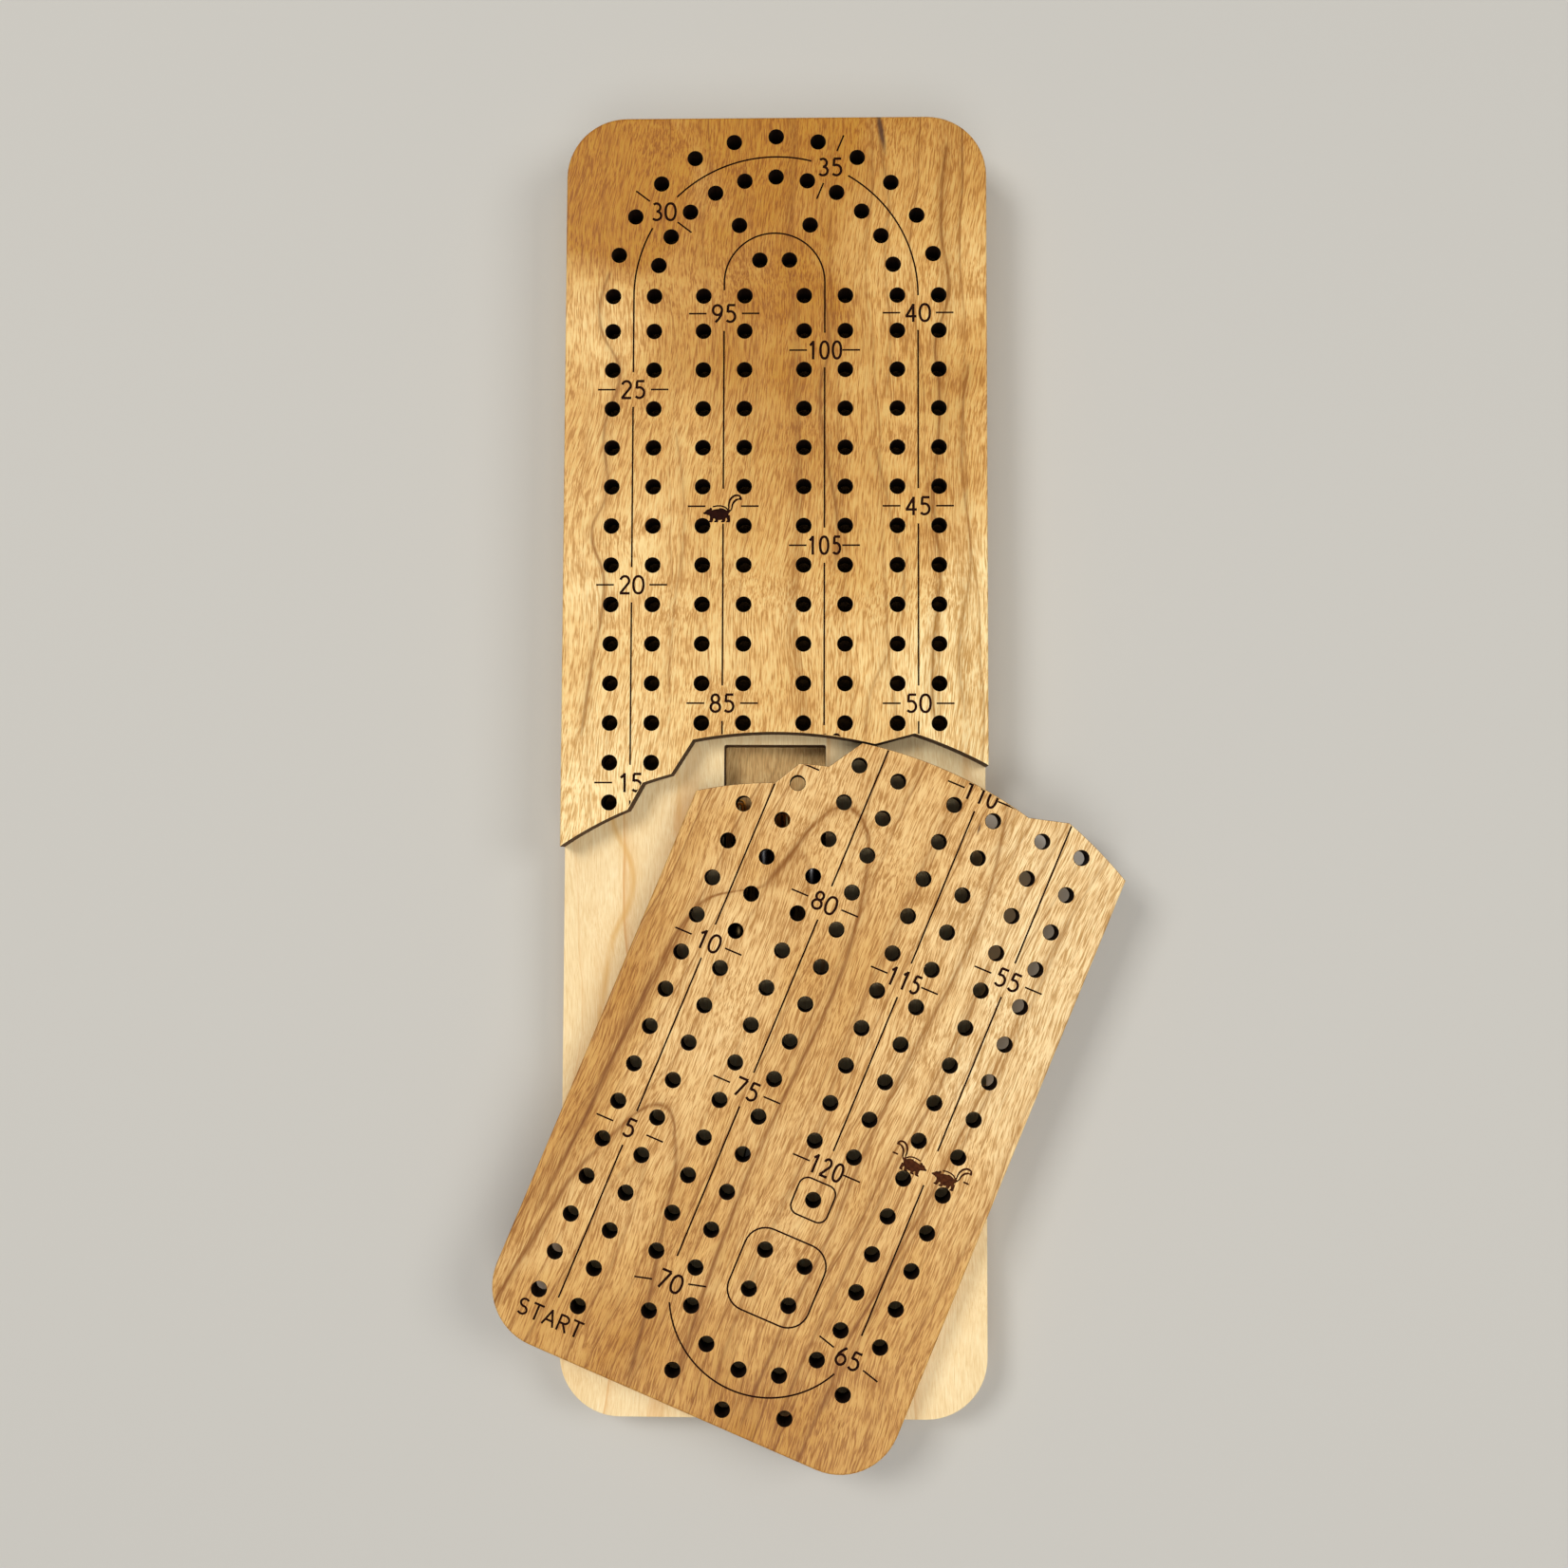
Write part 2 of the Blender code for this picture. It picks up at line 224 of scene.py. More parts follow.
def glyph(char):
    """Centre-lines of a figure 3.6 high on a 2.1 wide body: (points, closed)."""
    t = 1.8
    if char == "0":
        return [([(1.06 * math.copysign(abs(math.cos(a)) ** 0.86, math.cos(a)),
                   t * math.copysign(abs(math.sin(a)) ** 0.94, math.sin(a)))
                  for a in (2 * math.pi * k / 30 for k in range(30))], True)]
    if char == "1":
        return [([(0.3, -t - 0.2), (0.3, t + 0.18)], False), ([(-0.52, 0.98), (0.38, t + 0.02)], False)]
    if char == "2":
        return [(arc(0, 0.84, 0.9, 168, -28, 14, 0.96) + [Vector((-0.95, -t + 0.02))], False),
                ([(-1.08, -t), (1.05, -t)], False)]
    if char == "3":
        return [(arc(-0.12, 0.93, 0.8, 138, -92, 14, 0.87), False),
                (arc(-0.12, -0.85, 0.98, 92, -142, 16, 0.93), False)]
    if char == "4":
        return [([(0.42, -t - 0.2), (0.42, t + 0.1)], False), ([(0.5, t), (-1.05, -0.78)], False),
                ([(-1.2, -0.78), (1.12, -0.78)], False)]
    if char == "5":
        return [([(-0.7, t), (0.92, t)], False), ([(-0.6, t), (-0.7, 0.2)], False),
                (arc(-0.14, -0.66, 1.02, 122, -138, 18, 1.13), False)]
    if char == "6":
        return [(arc(0, -0.74, 0.95, 0, 360 - 18, 19, 1.05), True),
                ([(-0.93, -0.6), (-0.78, 0.3), (-0.3, 1.1), (0.42, t + 0.1)], False)]
    if char == "7":
        return [([(-1.0, t), (1.05, t)], False), ([(0.98, t - 0.05), (-0.42, -t - 0.15)], False)]
    if char == "8":
        return [(arc(0, 0.96, 0.76, 0, 360 - 18, 19, 0.84), True), (arc(0, -0.84, 0.97, 0, 360 - 18, 19, 0.96), True)]
    if char == "9":
        return [(arc(0, 0.74, 0.95, 0, 360 - 18, 19, 1.05), True),
                ([(0.93, 0.6), (0.78, -0.3), (0.3, -1.1), (-0.42, -t - 0.1)], False)]
    if char == "S":
        return [(arc(0.0, 0.92, 0.82, 40, 262, 14, 0.88) + arc(0.0, -0.87, 0.9, 84, -138, 14, 0.92), False)]
    if char == "T":
        return [([(-1.1, t), (1.1, t)], False), ([(0, t), (0, -t - 0.2)], False)]
    if char == "A":
        return [([(-1.15, -t - 0.2), (0.05, t + 0.15)], False), ([(1.15, -t - 0.2), (-0.05, t + 0.15)], False),
                ([(-0.72, -0.65), (0.72, -0.65)], False)]
    if char == "R":
        return [([(-0.85, -t - 0.2), (-0.85, t + 0.2)], False),
                ([(-0.85, t), (0.05, t)] + [tuple(p) for p in arc(0.05, 0.88, 0.88, 90, -90, 12, 0.92)] + [(-0.85, -0.04)], False),
                ([(-0.05, -0.04), (1.0, -t - 0.2)], False)]
    return []


def add_text(text, x, y, spacing, sx=1.0, sy=1.0, ink=INK):
    for k, char in enumerate(text):
        cx = x + (k - (len(text) - 1) / 2) * spacing
        for points, closed in glyph(char):
            add_stroke([(cx + p[0] * sx, y + p[1] * sy) for p in points], ink, closed)


DASH = (3.72, 7.45)


def add_label(text, x, y, bearing=0.0):
    """A number with a short rule either side, the rules lying along bearing."""
    if len(text) == 3:
        add_text(text, x - 0.05, y, 2.62, 0.80)
    elif len(text) == 2:
        add_text(text, x, y, 2.85)
    else:
        add_text(text, x, y, 2.85)
    c, s = math.cos(math.radians(bearing)), math.sin(math.radians(bearing))
    for side in (-1, 1):
        add_stroke([(x + side * d * c, y + side * d * s) for d in DASH], RULE)


def striped_animal(x, y, size, facing):
    """A small plain pictogram: a four-legged animal with a plumed tail and a pale stripe along its back."""
    def put(points):
        return [(x + facing * p[0] * size, y + p[1] * size) for p in points]
    body = []
    for k in range(48):
        a = 2 * math.pi * k / 48
        body.append((0.95 + 2.1 * math.cos(a), -1.66 + (1.30 if math.cos(a) < 0 else 1.08) * math.sin(a)))
    add_area(put(body))
    add_area(put([tuple(p) for p in arc(2.95, -1.28, 0.80, 0, 345, 23, 0.66)]))             # head
    add_area(put([(3.3, -0.82), (4.22, -1.40), (4.12, -1.66), (3.1, -1.86)]))                # snout
    add_area(put([tuple(p) for p in arc(2.62, -0.62, 0.30, 0, 330, 11)]))                    # ear
    for lx, lean in ((2.3, 0.24), (1.45, -0.06), (-0.2, 0.14), (-0.95, -0.20)):              # legs
        add_area(put([(lx + 0.44, -1.9), (lx - 0.44, -1.9), (lx - 0.36 + lean, -3.2), (lx - 0.2 + lean, -3.42),
                      (lx + 0.5 + lean, -3.42), (lx + 0.5 + lean, -3.14), (lx + 0.28 + lean, -3.0)]))
    tail = [(-0.85, -1.35), (-1.42, -0.55), (-1.55, 0.35), (-1.9, 1.2), (-2.6, 1.78), (-3.35, 1.78), (-3.85, 1.3)]
    widths = [0.7, 0.9, 1.15, 1.4, 1.45, 1.1, 0.2]
    curve, outer = [], []
    for i in range(len(tail) - 1):
        p0, p1, p2, p3 = tail[max(i - 1, 0)], tail[i], tail[i + 1], tail[min(i + 2, len(tail) - 1)]
        for k in range(5):
            u = k / 5
            curve.append(tuple(0.5 * (2 * b + (c - a) * u + (2 * a - 5 * b + 4 * c - d) * u * u + (3 * b - a - 3 * c + d) * u ** 3)
                               for a, b, c, d in zip(p0, p1, p2, p3)))
            outer.append((widths[i] * (1 - u) + widths[i + 1] * u) * size)
    curve.append(tail[-1])
    outer.append(widths[-1] * size)
    core = curve[4:-5]
    shapes.append(ribbon(put(curve), 0.5, widths=outer) + ribbon(put(core), 0.5, widths=[w * 0.34 for w in outer[4:-5]]))
    stripe = [(2.2, -0.12), (1.3, 0.06), (0.4, 0.04), (-0.4, -0.22), (-1.0, -0.75)]
    add_stroke(put(stripe), 0.32 * size)


def engrave_board():
    # straight rules of the four streets, broken at their labels
    gap = 3.7
    t1, t2, t3, t4 = STREET
    labels = {
        0: [("5", -9.5), ("10", -4.5), ("15", 0.5), ("20", 5.5), ("25", 10.5)],
        1: [("75", -7.5), ("80", -2.5), ("85", 2.5), ("", 7.5), ("95", 12.455)],
        2: [("120", -8.5), ("115", -3.5), ("110", 1.5), ("105", 6.5), ("100", 11.5)],
        3: [("", -7.5), ("55", -2.5), ("50", 2.5), ("45", 7.5), ("40", 12.455)],
    }
    ends = {0: (row(-14.0), row(TURN_ROW)), 1: (row(-11.92) , row(13.255)),
            2: (row(-8.5), row(13.255)), 3: (row(UTURN_ROW), row(TURN_ROW) + 0.55)}
    for k, x in enumerate(STREET):
        y = ends[k][0]
        if k == 1:
            y = row(UTURN_ROW)
        for text, r in labels[k]:
            ly = row(r)
            above = 5.0 if text == "95" else gap
            if ly - gap > y + 0.1:
                add_stroke([(x, y), (x, ly - gap)], RULE)
            y = ly + above
            if text:
                add_label(text, x, ly)
        if ends[k][1] > y + 0.1:
            add_stroke([(x, y), (x, ends[k][1])], RULE)
    # half-round track, broken at 30 and 35
    mid = (LANE[7] + (LANE[6] - LANE[1]) / 2) / 2
    cy = row(TURN_ROW)
    opening = math.degrees(4.2 / mid)
    for a0, a1 in ((180, 142.5 + opening), (142.5 - opening, 67.5 + opening), (67.5 - opening, 1.0)):
        add_stroke(arc(0, cy, mid, a0, a1, max(4, int(abs(a0 - a1) / 2))), RULE)
    for text, bearing in (("30", 142.5), ("35", 67.5)):
        add_label(text, mid * math.cos(math.radians(bearing)), cy + mid * math.sin(math.radians(bearing)), bearing)
    # return arch between streets 2 and 3
    half = (t3 - t2) / 2
    add_stroke(arc((t2 + t3) / 2, row(13.255), half, 180, 0, 48), RULE)
    # U-turn at the lower end, broken at 65 and 70
    radius = (t4 - t2) / 2
    opening = math.degrees(4.15 / radius)
    cy = row(UTURN_ROW)
    add_stroke(arc(UTURN_X, cy, radius, -15 - opening, -165 + opening, 70), RULE)
    for text, bearing in (("65", -15), ("70", 195)):
        add_label(text, UTURN_X + radius * math.cos(math.radians(bearing)),
                  cy + radius * math.sin(math.radians(bearing)), bearing - (180 if bearing > 90 else 0))
    # the finishing hole's frame and the frame round the four games-won holes
    fx, fy = (LANE[4] + LANE[5]) / 2, row(-9.35)
    for cx, cy, side, r in ((fx, fy, 7.9, 1.9), (UTURN_X, row(-11.44), 17.5, 4.5)):
        loop = []
        for qx, qy, start in ((1, 1, 0), (-1, 1, 90), (-1, -1, 180), (1, -1, 270)):
            loop += arc(cx + qx * (side / 2 - r), cy + qy * (side / 2 - r), r, start, start + 90, 8)
        add_stroke(loop, RULE, closed=True)
    add_text("START", (LANE[0] + LANE[1]) / 2, row(-14.53), 2.95, 1.04, 0.86, 0.46)
    # the short-loss lines
    striped_animal(t2, row(7.5), 1.0, -1)
    for side in (-1, 1):
        add_stroke([(t2 + side * d, row(7.5)) for d in DASH], RULE)
        striped_animal(t4 + side * 4.55, row(-7.5) + 0.6, 0.95, -side)
        add_stroke([(t4 + side * d, row(-7.5)) for d in (7.2, 8.4)], RULE)


engrave_board()


# ------------------------------------------------------------------ drilled, engraved plates
def triangulate(loops):
    """Constrained triangulation of crossing loops: points, triangles, and each loop's points along its edges."""
    points, edges, owner = [], [], []
    for k, loop in enumerate(loops):
        base = len(points)
        points.extend(loop)
        n = len(loop)
        edges.extend((base + i, base + (i + 1) % n) for i in range(n))
        owner.extend([k] * n)
    flat, out_edges, faces, orig_v, orig_e, _ = delaunay_2d_cdt(points, edges, [], 0, 1e-7)
    where = {}
    for new, olds in enumerate(orig_v):
        for old in olds:
            where[old] = new
    parts = [[] for _ in edges]
    for (a, b), olds in zip(out_edges, orig_e):
        for e in olds:
            parts[e].append((a, b))
    chains = []
    cursor = 0
    for loop in loops:
        run = []
        for i in range(len(loop)):
            e = cursor + i
            start, goal = where[edges[e][0]], where[edges[e][1]]
            ids = {start, goal}
            for a, b in parts[e]:
                ids.update((a, b))
            origin = flat[start]
            direction = flat[goal] - origin
            ordered = sorted(ids, key=lambda v: (flat[v] - origin).dot(direction))
            run.append(ordered)
        chains.append(run)
        cursor += len(loop)
    return flat, faces, chains


def build_plate(name, outline, kinds, holes, z_low, z_high, engraved=(), sides=32, side_round=0.55, cut_round=0.06,
                low_round=0.0, hole_round=0.09, depth=0.32, blind=(), floored=False):
    """A closed plate: eased upper edge, drilled holes and engraved recesses.
    Face materials: 0 wood, 1 laser-cut edge, 2 engraving, 3 wall of a peg hole, 4 its floor."""
    verts, faces, mats, smooth = [], [], [], []

    def vert(x, y, z):
        verts.append((x * MM, y * MM, z * MM))
        return len(verts) - 1

    def face(ids, mat, soft=False):
        clean = [v for i, v in enumerate(ids) if v != ids[i - 1]]
        if len(set(clean)) >= 3:
            faces.append(clean)
            mats.append(mat)
            smooth.append(soft)

    levels = [0, 30, 60, 90]
    inset = [{"side": side_round * (1 - math.sin(math.radians(a))), "cut": cut_round * (1 - math.sin(math.radians(a)))} for a in levels]
    fall = [{"side": side_round * (1 - math.cos(math.radians(a))), "cut": cut_round * (1 - math.cos(math.radians(a)))} for a in levels]
    rings = [offset_loop(outline, kinds, amount) for amount in inset]
    top = rings[0]
    guard = offset_loop(outline, kinds, {"side": side_round + 0.12, "cut": cut_round + 0.12})
    ring_angles = [2 * math.pi * k / sides for k in range(sides)]

    def circle(c, r):
        return [Vector((c[0] + r * math.cos(-a), c[1] + r * math.sin(-a))) for a in ring_angles]

    xs = [p.x for p in outline]
    ys = [p.y for p in outline]
    near = []
    for shape in engraved:
        sx = [p.x for loop in shape for p in loop]
        sy = [p.y for loop in shape for p in loop]
        if max(sx) > min(xs) and min(sx) < max(xs) and max(sy) > min(ys) and min(sy) < max(ys):
            near.append(shape)
    loops = [top] + [circle(h, HOLE_R + hole_round) for h in holes]
    if near:
        loops.append(guard)
        for shape in near:
            loops.extend(shape)
    flat, tris, chains = triangulate(loops)
    coords = np.array([(p.x, p.y) for p in flat])
    tri = np.array([t for t in tris if len(t) == 3])
    mid = coords[tri].mean(1)
    keep = inside_many(mid[:, 0], mid[:, 1], top)
    for h in holes:
        close = np.hypot(mid[:, 0] - h[0], mid[:, 1] - h[1]) < HOLE_R + hole_round
        if close.any():
            idx = np.where(close)[0]
            keep[idx] &= ~inside_many(mid[idx, 0], mid[idx, 1], circle(h, HOLE_R + hole_round))
    tri, mid = tri[keep], mid[keep]
    sunk = np.zeros(len(tri), bool)
    for shape in near:
        sx = [p.x for loop in shape for p in loop]
        sy = [p.y for loop in shape for p in loop]
        idx = np.where((mid[:, 0] > min(sx)) & (mid[:, 0] < max(sx)) & (mid[:, 1] > min(sy)) & (mid[:, 1] < max(sy)))[0]
        if not len(idx):
            continue
        hit = np.zeros(len(idx), bool)
        for loop in shape:
            hit ^= inside_many(mid[idx, 0], mid[idx, 1], loop)
        sunk[idx] |= hit
    if near:
        sunk &= inside_many(mid[:, 0], mid[:, 1], guard)
    high, deep = {}, {}

    def top_vert(i):
        if i not in high:
            high[i] = vert(flat[i].x, flat[i].y, z_high)
        return high[i]

    def deep_vert(i):
        if i not in deep:
            deep[i] = vert(flat[i].x, flat[i].y, z_high - depth)
        return deep[i]

    side_of = {}
    for t, s in zip(tri, sunk):
        a, b, c = (int(v) for v in t)
        pa, pb, pc = coords[a], coords[b], coords[c]
        if (pb[0] - pa[0]) * (pc[1] - pa[1]) - (pb[1] - pa[1]) * (pc[0] - pa[0]) < 0:
            b, c = c, b
        maker = deep_vert if s else top_vert
        face([maker(a), maker(b), maker(c)], 2 if s else 0)
        for e in ((a, b), (b, c), (c, a)):
            side_of[e] = bool(s)
    for (a, b), s in side_of.items():
        if s and side_of.get((b, a)) is False:
            face([deep_vert(b), deep_vert(a), top_vert(a), top_vert(b)], 2)

    # outer wall, ring by ring
    count = len(outline)
    ring_ids = []
    for k in range(1, len(levels)):
        down = drops(kinds, fall[k])
        ring_ids.append([vert(p.x, p.y, z_high - d) for p, d in zip(rings[k], down)])
    if low_round:
        ring_ids.append([vert(p.x, p.y, z_low + low_round) for p in outline])
        under = offset_loop(outline, kinds, {"side": low_round, "cut": low_round})
    else:
        under = outline
    for i in range(count):
        j = (i + 1) % count
        mat = 1 if kinds[i] == "cut" else 0
        upper = [top_vert(v) for v in chains[0][i]]
        face([ring_ids[0][i], ring_ids[0][j]] + upper[::-1], mat, True)
        for lower_ring, upper_ring in zip(ring_ids[1:], ring_ids[:-1]):
            face([lower_ring[i], lower_ring[j], upper_ring[j], upper_ring[i]], mat, True)

    # holes
    hole_low = []
    for k, h in enumerate(holes):
        mouth = [top_vert(c[0]) for c in chains[1 + k]]
        lip = [vert(p.x, p.y, z_high - hole_round) for p in circle(h, HOLE_R)]
        foot_pts = circle(h, HOLE_R)
        foot = [vert(p.x, p.y, z_low + (0.15 if floored else 0.0)) for p in foot_pts]
        # a disc just above the maple closes the hole; it takes the floor material, painted shade
        if floored:
            face(foot, 4)
        else:
            hole_low.append((foot_pts, foot))
        for i in range(sides):
            j = (i + 1) % sides
            face([lip[i], lip[j], mouth[j], mouth[i]], 3, True)
            face([foot[i], foot[j], lip[j], lip[i]], 3, True)

    # underside, with any blind pocket in it
    pockets = [(c, r, d, [Vector((c[0] + r * math.cos(-a), c[1] + r * math.sin(-a))) for a in ring_angles]) for c, r, d in blind]
    flat2, tris2, chains2 = triangulate([under] + [h[0] for h in hole_low] + [p[3] for p in pockets])
    xy = np.array([(p.x, p.y) for p in flat2])
    tri = np.array([t for t in tris2 if len(t) == 3])
    mid = xy[tri].mean(1)
    keep = inside_many(mid[:, 0], mid[:, 1], under)
    for h in () if floored else holes:
        idx = np.where(np.hypot(mid[:, 0] - h[0], mid[:, 1] - h[1]) < HOLE_R)[0]
        keep[idx] &= ~inside_many(mid[idx, 0], mid[idx, 1], circle(h, HOLE_R))
    for c, r, d, loop in pockets:
        keep &= ~inside_many(mid[:, 0], mid[:, 1], loop)
    low = {}
    for (pts, ids), chain in zip(hole_low, chains2[1:]):
        for v, c in zip(ids, chain):
            low[c[0]] = v

    def low_vert(i):
        if i not in low:
            low[i] = vert(flat2[i].x, flat2[i].y, z_low)
        return low[i]

    for t in tri[keep]:
        a, b, c = (int(v) for v in t)
        pa, pb, pc = xy[a], xy[b], xy[c]
        if (pb[0] - pa[0]) * (pc[1] - pa[1]) - (pb[1] - pa[1]) * (pc[0] - pa[0]) > 0:
            b, c = c, b
        face([low_vert(a), low_vert(b), low_vert(c)], 0)
    for i in range(count):
        j = (i + 1) % count
        lower = [low_vert(v) for v in chains2[0][i]]
        face(lower + [ring_ids[-1][j], ring_ids[-1][i]], 1 if kinds[i] == "cut" else 0, bool(low_round))
    for (c, r, d, loop), chain in zip(pockets, chains2[1 + len(hole_low):]):
        mouth = [low_vert(x[0]) for x in chain]
        floor = [vert(p.x, p.y, z_low + d) for p in loop]
        for i in range(sides):
            j = (i + 1) % sides
            face([mouth[i], mouth[j], floor[j], floor[i]], 1, True)
        face(floor[::-1], 1)

    mesh = bpy.data.meshes.new(name)
    mesh.from_pydata(verts, [], faces)
    mesh.polygons.foreach_set("material_index", mats)
    mesh.polygons.foreach_set("use_smooth", smooth)
    bm = bmesh.new()
    bm.from_mesh(mesh)
    bmesh.ops.remove_doubles(bm, verts=bm.verts, dist=2e-7)
    cracks = [e for e in bm.edges if e.is_boundary]
    if cracks:      # hairline gaps where an engraved shape runs into a hole
        bmesh.ops.holes_fill(bm, edges=cracks, sides=0)
    bmesh.ops.recalc_face_normals(bm, faces=bm.faces)
    bm.to_mesh(mesh)
    bm.free()
    mesh.set_sharp_from_angle(angle=math.radians(38))
    mesh.validate()
    obj = bpy.data.objects.new(name, mesh)
    bpy.context.scene.collection.objects.link(obj)
    return obj


def lane_holes(lane, first, last):
    return [Vector((LANE[lane], row(r))) for r in range(first, last + 1)]


def plate_holes():
    holes = lane_holes(0, 0, 12) + lane_holes(1, 1, 12)
    for lane in range(2, 8):
        holes += lane_holes(lane, 2, 12)
    holes += [Vector((x, row(TURN_ROW))) for x in LANE]
    for radius in (LANE[7], (LANE[6] - LANE[1]) / 2):
        holes += arc(0.0, row(TURN_ROW), radius, 165, 15, 10)
    middle = (LANE[2] + LANE[5]) / 2
    for radius in ((LANE[5] - LANE[2]) / 2, (LANE[4] - LANE[3]) / 2):
        holes += arc(middle, row(ARCH_ROW), radius, 120, 60, 1)
    return holes


def lid_holes():
    holes = lane_holes(0, -14, -1) + lane_holes(1, -14, 0)
    for lane in (2, 3, 6, 7):
        holes += lane_holes(lane, -12, 1)
    for lane in (4, 5):
        holes += lane_holes(lane, -8, 1)
    for radius in ((LANE[7] - LANE[2]) / 2, (LANE[6] - LANE[3]) / 2):
        holes += arc(UTURN_X, row(UTURN_ROW), radius, 210, 330, 4)
    holes.append(Vector(((LANE[4] + LANE[5]) / 2, row(-9.35))))
    for dx in (-0.527, 0.527):
        for dy in (-0.515, 0.515):
            holes.append(Vector((UTURN_X + dx * PITCH, row(-11.44 + dy))))
    return holes


# ------------------------------------------------------------------ material tools
class Tree:
    turn = 0.0      # how far the piece's own axes are turned from its object's

    def __init__(self, name):
        self.mat = bpy.data.materials.new(name)
        self.mat.use_nodes = True
        self.tree = self.mat.node_tree
        self.shader = self.tree.nodes["Principled BSDF"]

    def add(self, kind, **props):
        node = self.tree.nodes.new(kind)
        for key, value in props.items():
            setattr(node, key, value)
        return node

    def link(self, a, b):
        self.tree.links.new(a, b)

    def feed(self, socket, value):
        if hasattr(value, "is_output"):
            self.link(value, socket)
        elif value is not None:
            socket.default_value = value

    def math(self, operation, a, b=None, c=None, clamp=False):
        node = self.add("ShaderNodeMath", operation=operation, use_clamp=clamp)
        for socket, value in zip(node.inputs, (a, b, c)):
            self.feed(socket, value)
        return node.outputs[0]

    def vec(self, operation, a, b=None):
        node = self.add("ShaderNodeVectorMath", operation=operation)
        self.feed(node.inputs[0], a)
        if b is not None:
            self.feed(node.inputs[1], b)
        return node.outputs["Value"] if operation in ("LENGTH", "DOT_PRODUCT") else node.outputs[0]

    def noise(self, vector, scale=1.0, detail=2.0, rough=0.5, out="Fac", distortion=0.0):
        node = self.add("ShaderNodeTexNoise")
        self.feed(node.inputs["Vector"], vector)
        node.inputs["Scale"].default_value = scale
        node.inputs["Detail"].default_value = detail
        node.inputs["Roughness"].default_value = rough
        node.inputs["Distortion"].default_value = distortion
        return node.outputs[out]

    def ramp(self, fac, stops, interpolation="LINEAR"):
        node = self.add("ShaderNodeValToRGB")
        node.color_ramp.interpolation = interpolation
        elements = node.color_ramp.elements
        while len(elements) < len(stops):
            elements.new(0.5)
        for element, (place, colour) in zip(elements, stops):
            element.position = place
            element.color = (colour, colour, colour, 1.0) if isinstance(colour, (int, float)) else (*colour, 1.0)
        self.feed(node.inputs["Fac"], fac)
        return node.outputs["Color"]

    def mix(self, fac, a, b, blend="MIX"):
        node = self.add("ShaderNodeMix", data_type="RGBA", blend_type=blend)
        self.feed(node.inputs[0], fac)
        for socket, value in ((node.inputs[6], a), (node.inputs[7], b)):
            if isinstance(value, tuple):
                value = (*value, 1.0)
            self.feed(socket, value)
        return node.outputs[2]

    def bump(self, height, distance, strength=1.0):
        node = self.add("ShaderNodeBump")
        node.inputs["Strength"].default_value = strength
        node.inputs["Distance"].default_value = distance
        self.feed(node.inputs["Height"], height)
        self.link(node.outputs["Normal"], self.shader.inputs["Normal"])

    def add_xyz(self, x, y=0.0, z=0.0):
        node = self.add("ShaderNodeCombineXYZ")
        for socket, value in zip(node.inputs, (x, y, z)):
            self.feed(socket, value)
        return node.outputs[0]

    def place(self):
        """Object coordinates in millimetres."""
        coords = self.add("ShaderNodeTexCoord").outputs["Object"]
        if self.turn:
            node = self.add("ShaderNodeVectorRotate", rotation_type="Z_AXIS")
            node.inputs["Angle"].default_value = -self.turn
            self.link(coords, node.inputs["Vector"])
            coords = node.outputs[0]
        return self.vec("MULTIPLY", coords, (1000.0, 1000.0, 1000.0))


def srgb(r, g, b):
    def lin(c):
        c /= 255.0
        return c / 12.92 if c <= 0.04045 else ((c + 0.055) / 1.055) ** 2.4
    return (lin(r), lin(g), lin(b))


